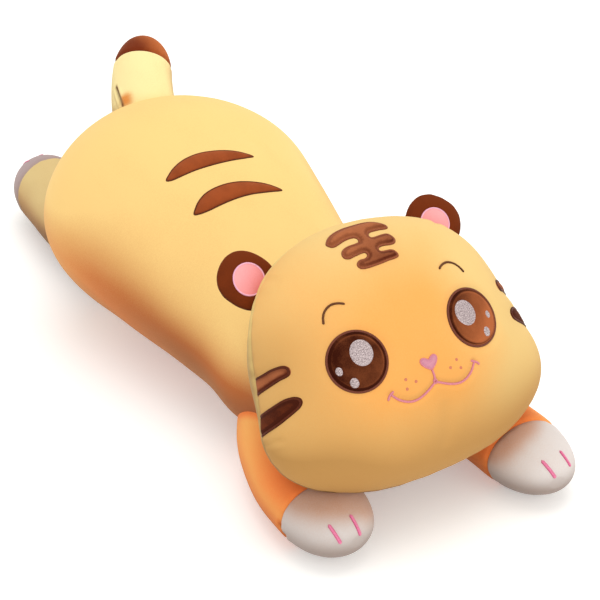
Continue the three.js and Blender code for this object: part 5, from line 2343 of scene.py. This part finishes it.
def ear(wardrobe: Wardrobe, side: Side) -> Ear:
    """An ear, which stands in the face seam.

    Args:
        wardrobe: The toy's cloths and threads.
        side: The side of the toy.

    Returns:
        The ear, ready to build.
    """
    if side is Side.LEFT:
        return Ear(
            wardrobe, side, origin=(90.836, -291.118, 226.506),
            across=(0.761851, -0.374309, -0.528655), outward=(0.647753, 0.440241, 0.621775),
            slide=3.4, rise=6.0, half_width=30.0, lining_radius=15.4
        )
    return Ear(
        wardrobe, side, origin=(-100.710, -295.951, 219.680),
        across=(0.702496, 0.411254, 0.580835), outward=(-0.711688, 0.405943, 0.573334), slide=3.2,
        rise=12.0, half_width=27.6, lining_radius=15.8
    )


def front_leg(wardrobe: Wardrobe, side: Side) -> Limb:
    """A front leg, which reaches out from under the head.

    Args:
        wardrobe: The toy's cloths and threads.
        side: The side of the toy.

    Returns:
        The leg, ready to build.
    """
    left = side is Side.LEFT
    bend = (121, -48) if left else (-119, -43)
    tip = (107, -205) if left else (-97.5, -181)
    toes = {
        Side.RIGHT: {
            "outer": ((-119.5, -460, 50), (-115, -460, 35)),
            "inner": ((-97, -460, 52.5), (-94.6, -460, 36))
        },
        Side.LEFT: {
            "inner": ((99, -484, 51), (104.6, -484, 37)),
            "outer": ((121.5, -484, 52.6), (125, -484, 40))
        }
    }[side]
    return Limb(
        wardrobe, name=f"front_leg_{side.label}", cap_name=f"front_paw_{side.label}",
        body=Body.FRONT_LEG.of(side), sleeve_finish=wardrobe.leg_plush,
        cap_finish=wardrobe.white_plush, cap_slot="white_plush",
        root=(side.value * 61.94, NECK_AT + 49, 40), bend=(bend[0], NECK_AT + bend[1], 35),
        tip=(tip[0], NECK_AT + tip[1], 31.5), upward=(0, 0, 1), root_radius=38 if left else 36,
        tip_half_width=44.5 if left else 46.5, tip_half_height=32,
        seam_share=0.795 if left else 0.775, rounding=0.28, exponent=2.3, toe_lines=toes,
        sole_seam=11.0, shade_turn=(-0.9, 0.6), shade_top=0.15, hollow_turn=(-0.75, 0.6),
        creases=(
            Crease((side.value * 150, -401, 33), (side.value * 139, -397, 30), 2.2, 2.6),
            Crease((side.value * 148, -409, 27), (side.value * 137, -404, 25), 1.8, 2.4)
        ),
        # The right paw gets a base painted shade; glow is how far the head's painted shadow
        # reaches.
        cap_hollow=0.0 if left else 0.15, sleeve_hollow=0.7, glow=23.0 if left else 31.0
    )


def rear_leg(wardrobe: Wardrobe, side: Side) -> Limb:
    """A rear leg, which lies out behind the rump.

    Args:
        wardrobe: The toy's cloths and threads.
        side: The side of the toy.

    Returns:
        The leg, ready to build.
    """
    s = side.value
    return Limb(
        wardrobe, name=f"rear_leg_{side.label}", cap_name=f"rear_foot_{side.label}",
        body=Body.REAR_LEG.of(side), sleeve_finish=wardrobe.rear_plush,
        cap_finish=wardrobe.foot_plush, cap_slot="white_plush", root=(s * 63, RUMP_AT - 68, 56),
        bend=(s * 62, RUMP_AT + 57, 45.5), tip=(s * 51.5, RUMP_AT + 216, 44.5), upward=(0, 0, 1),
        root_radius=52, tip_half_width=43, tip_half_height=44, seam_share=0.765, rounding=0.24,
        exponent=2,
        toe_lines={
            "inner": ((s * 50, RUMP_AT + 230, 85), (s * 50, RUMP_AT + 230, 62)),
            "outer": ((s * 71, RUMP_AT + 230, 83), (s * 71, RUMP_AT + 230, 62))
        },
        # The sleeve and the cap get painted shade.
        toe_way=(0.0, -1.0, 0.0), sole_seam=13.0, shade_turn=(-0.8, 0.35), cap_hollow=0.3,
        sleeve_hollow=0.85
    )


def tail(wardrobe: Wardrobe) -> Limb:
    """The short thick tail, which stands up from the rump.

    Args:
        wardrobe: The toy's cloths and threads.

    Returns:
        The tail, ready to build.
    """
    return Limb(
        wardrobe, name="tail", cap_name="tail_tip", body=Body.TAIL.value,
        sleeve_finish=wardrobe.tail_plush, cap_finish=wardrobe.tip_velvet, cap_slot="brown_plush",
        root=(12, RUMP_AT - 49, 206), bend=(27, RUMP_AT - 8, 238), tip=(56, RUMP_AT + 23, 262.5),
        upward=(0, -0.628596, 0.777732), root_radius=38, tip_half_width=34, tip_half_height=35,
        seam_share=0.585, rounding=0.52, exponent=2.05, on_floor=False, shade_turn=(-0.5, 1.0),
        creases=(Crease((-16, 237, 236.5), (-21.5, 209, 223.5), 3.2, 2.2, 0.4),), around=150,
        # A painted shade spot at the slit's lower end; the tip is painted darker towards the
        # tiger's right.
        blush=(-15.5, 208, 229.5), cap_tone=lambda points: 1 - ease(points[..., 0], 18, 62)
    )


def main() -> None:
    """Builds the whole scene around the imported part."""
    logging.basicConfig(level=logging.INFO, format="%(name)s: %(message)s")
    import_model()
    wardrobe = Wardrobe()
    torso, head = Torso(wardrobe), Head(wardrobe)
    torso.build(Surface(head.form()[0]))
    head.build()
    for side in Side:
        ear(wardrobe, side).build()
    for side in Side:
        front_leg(wardrobe, side).build(torso.skin, head.skin)
        rear_leg(wardrobe, side).build(torso.skin)
    tail(wardrobe).build(torso.skin)
    Studio().build()


if __name__ == "__main__":
    main()
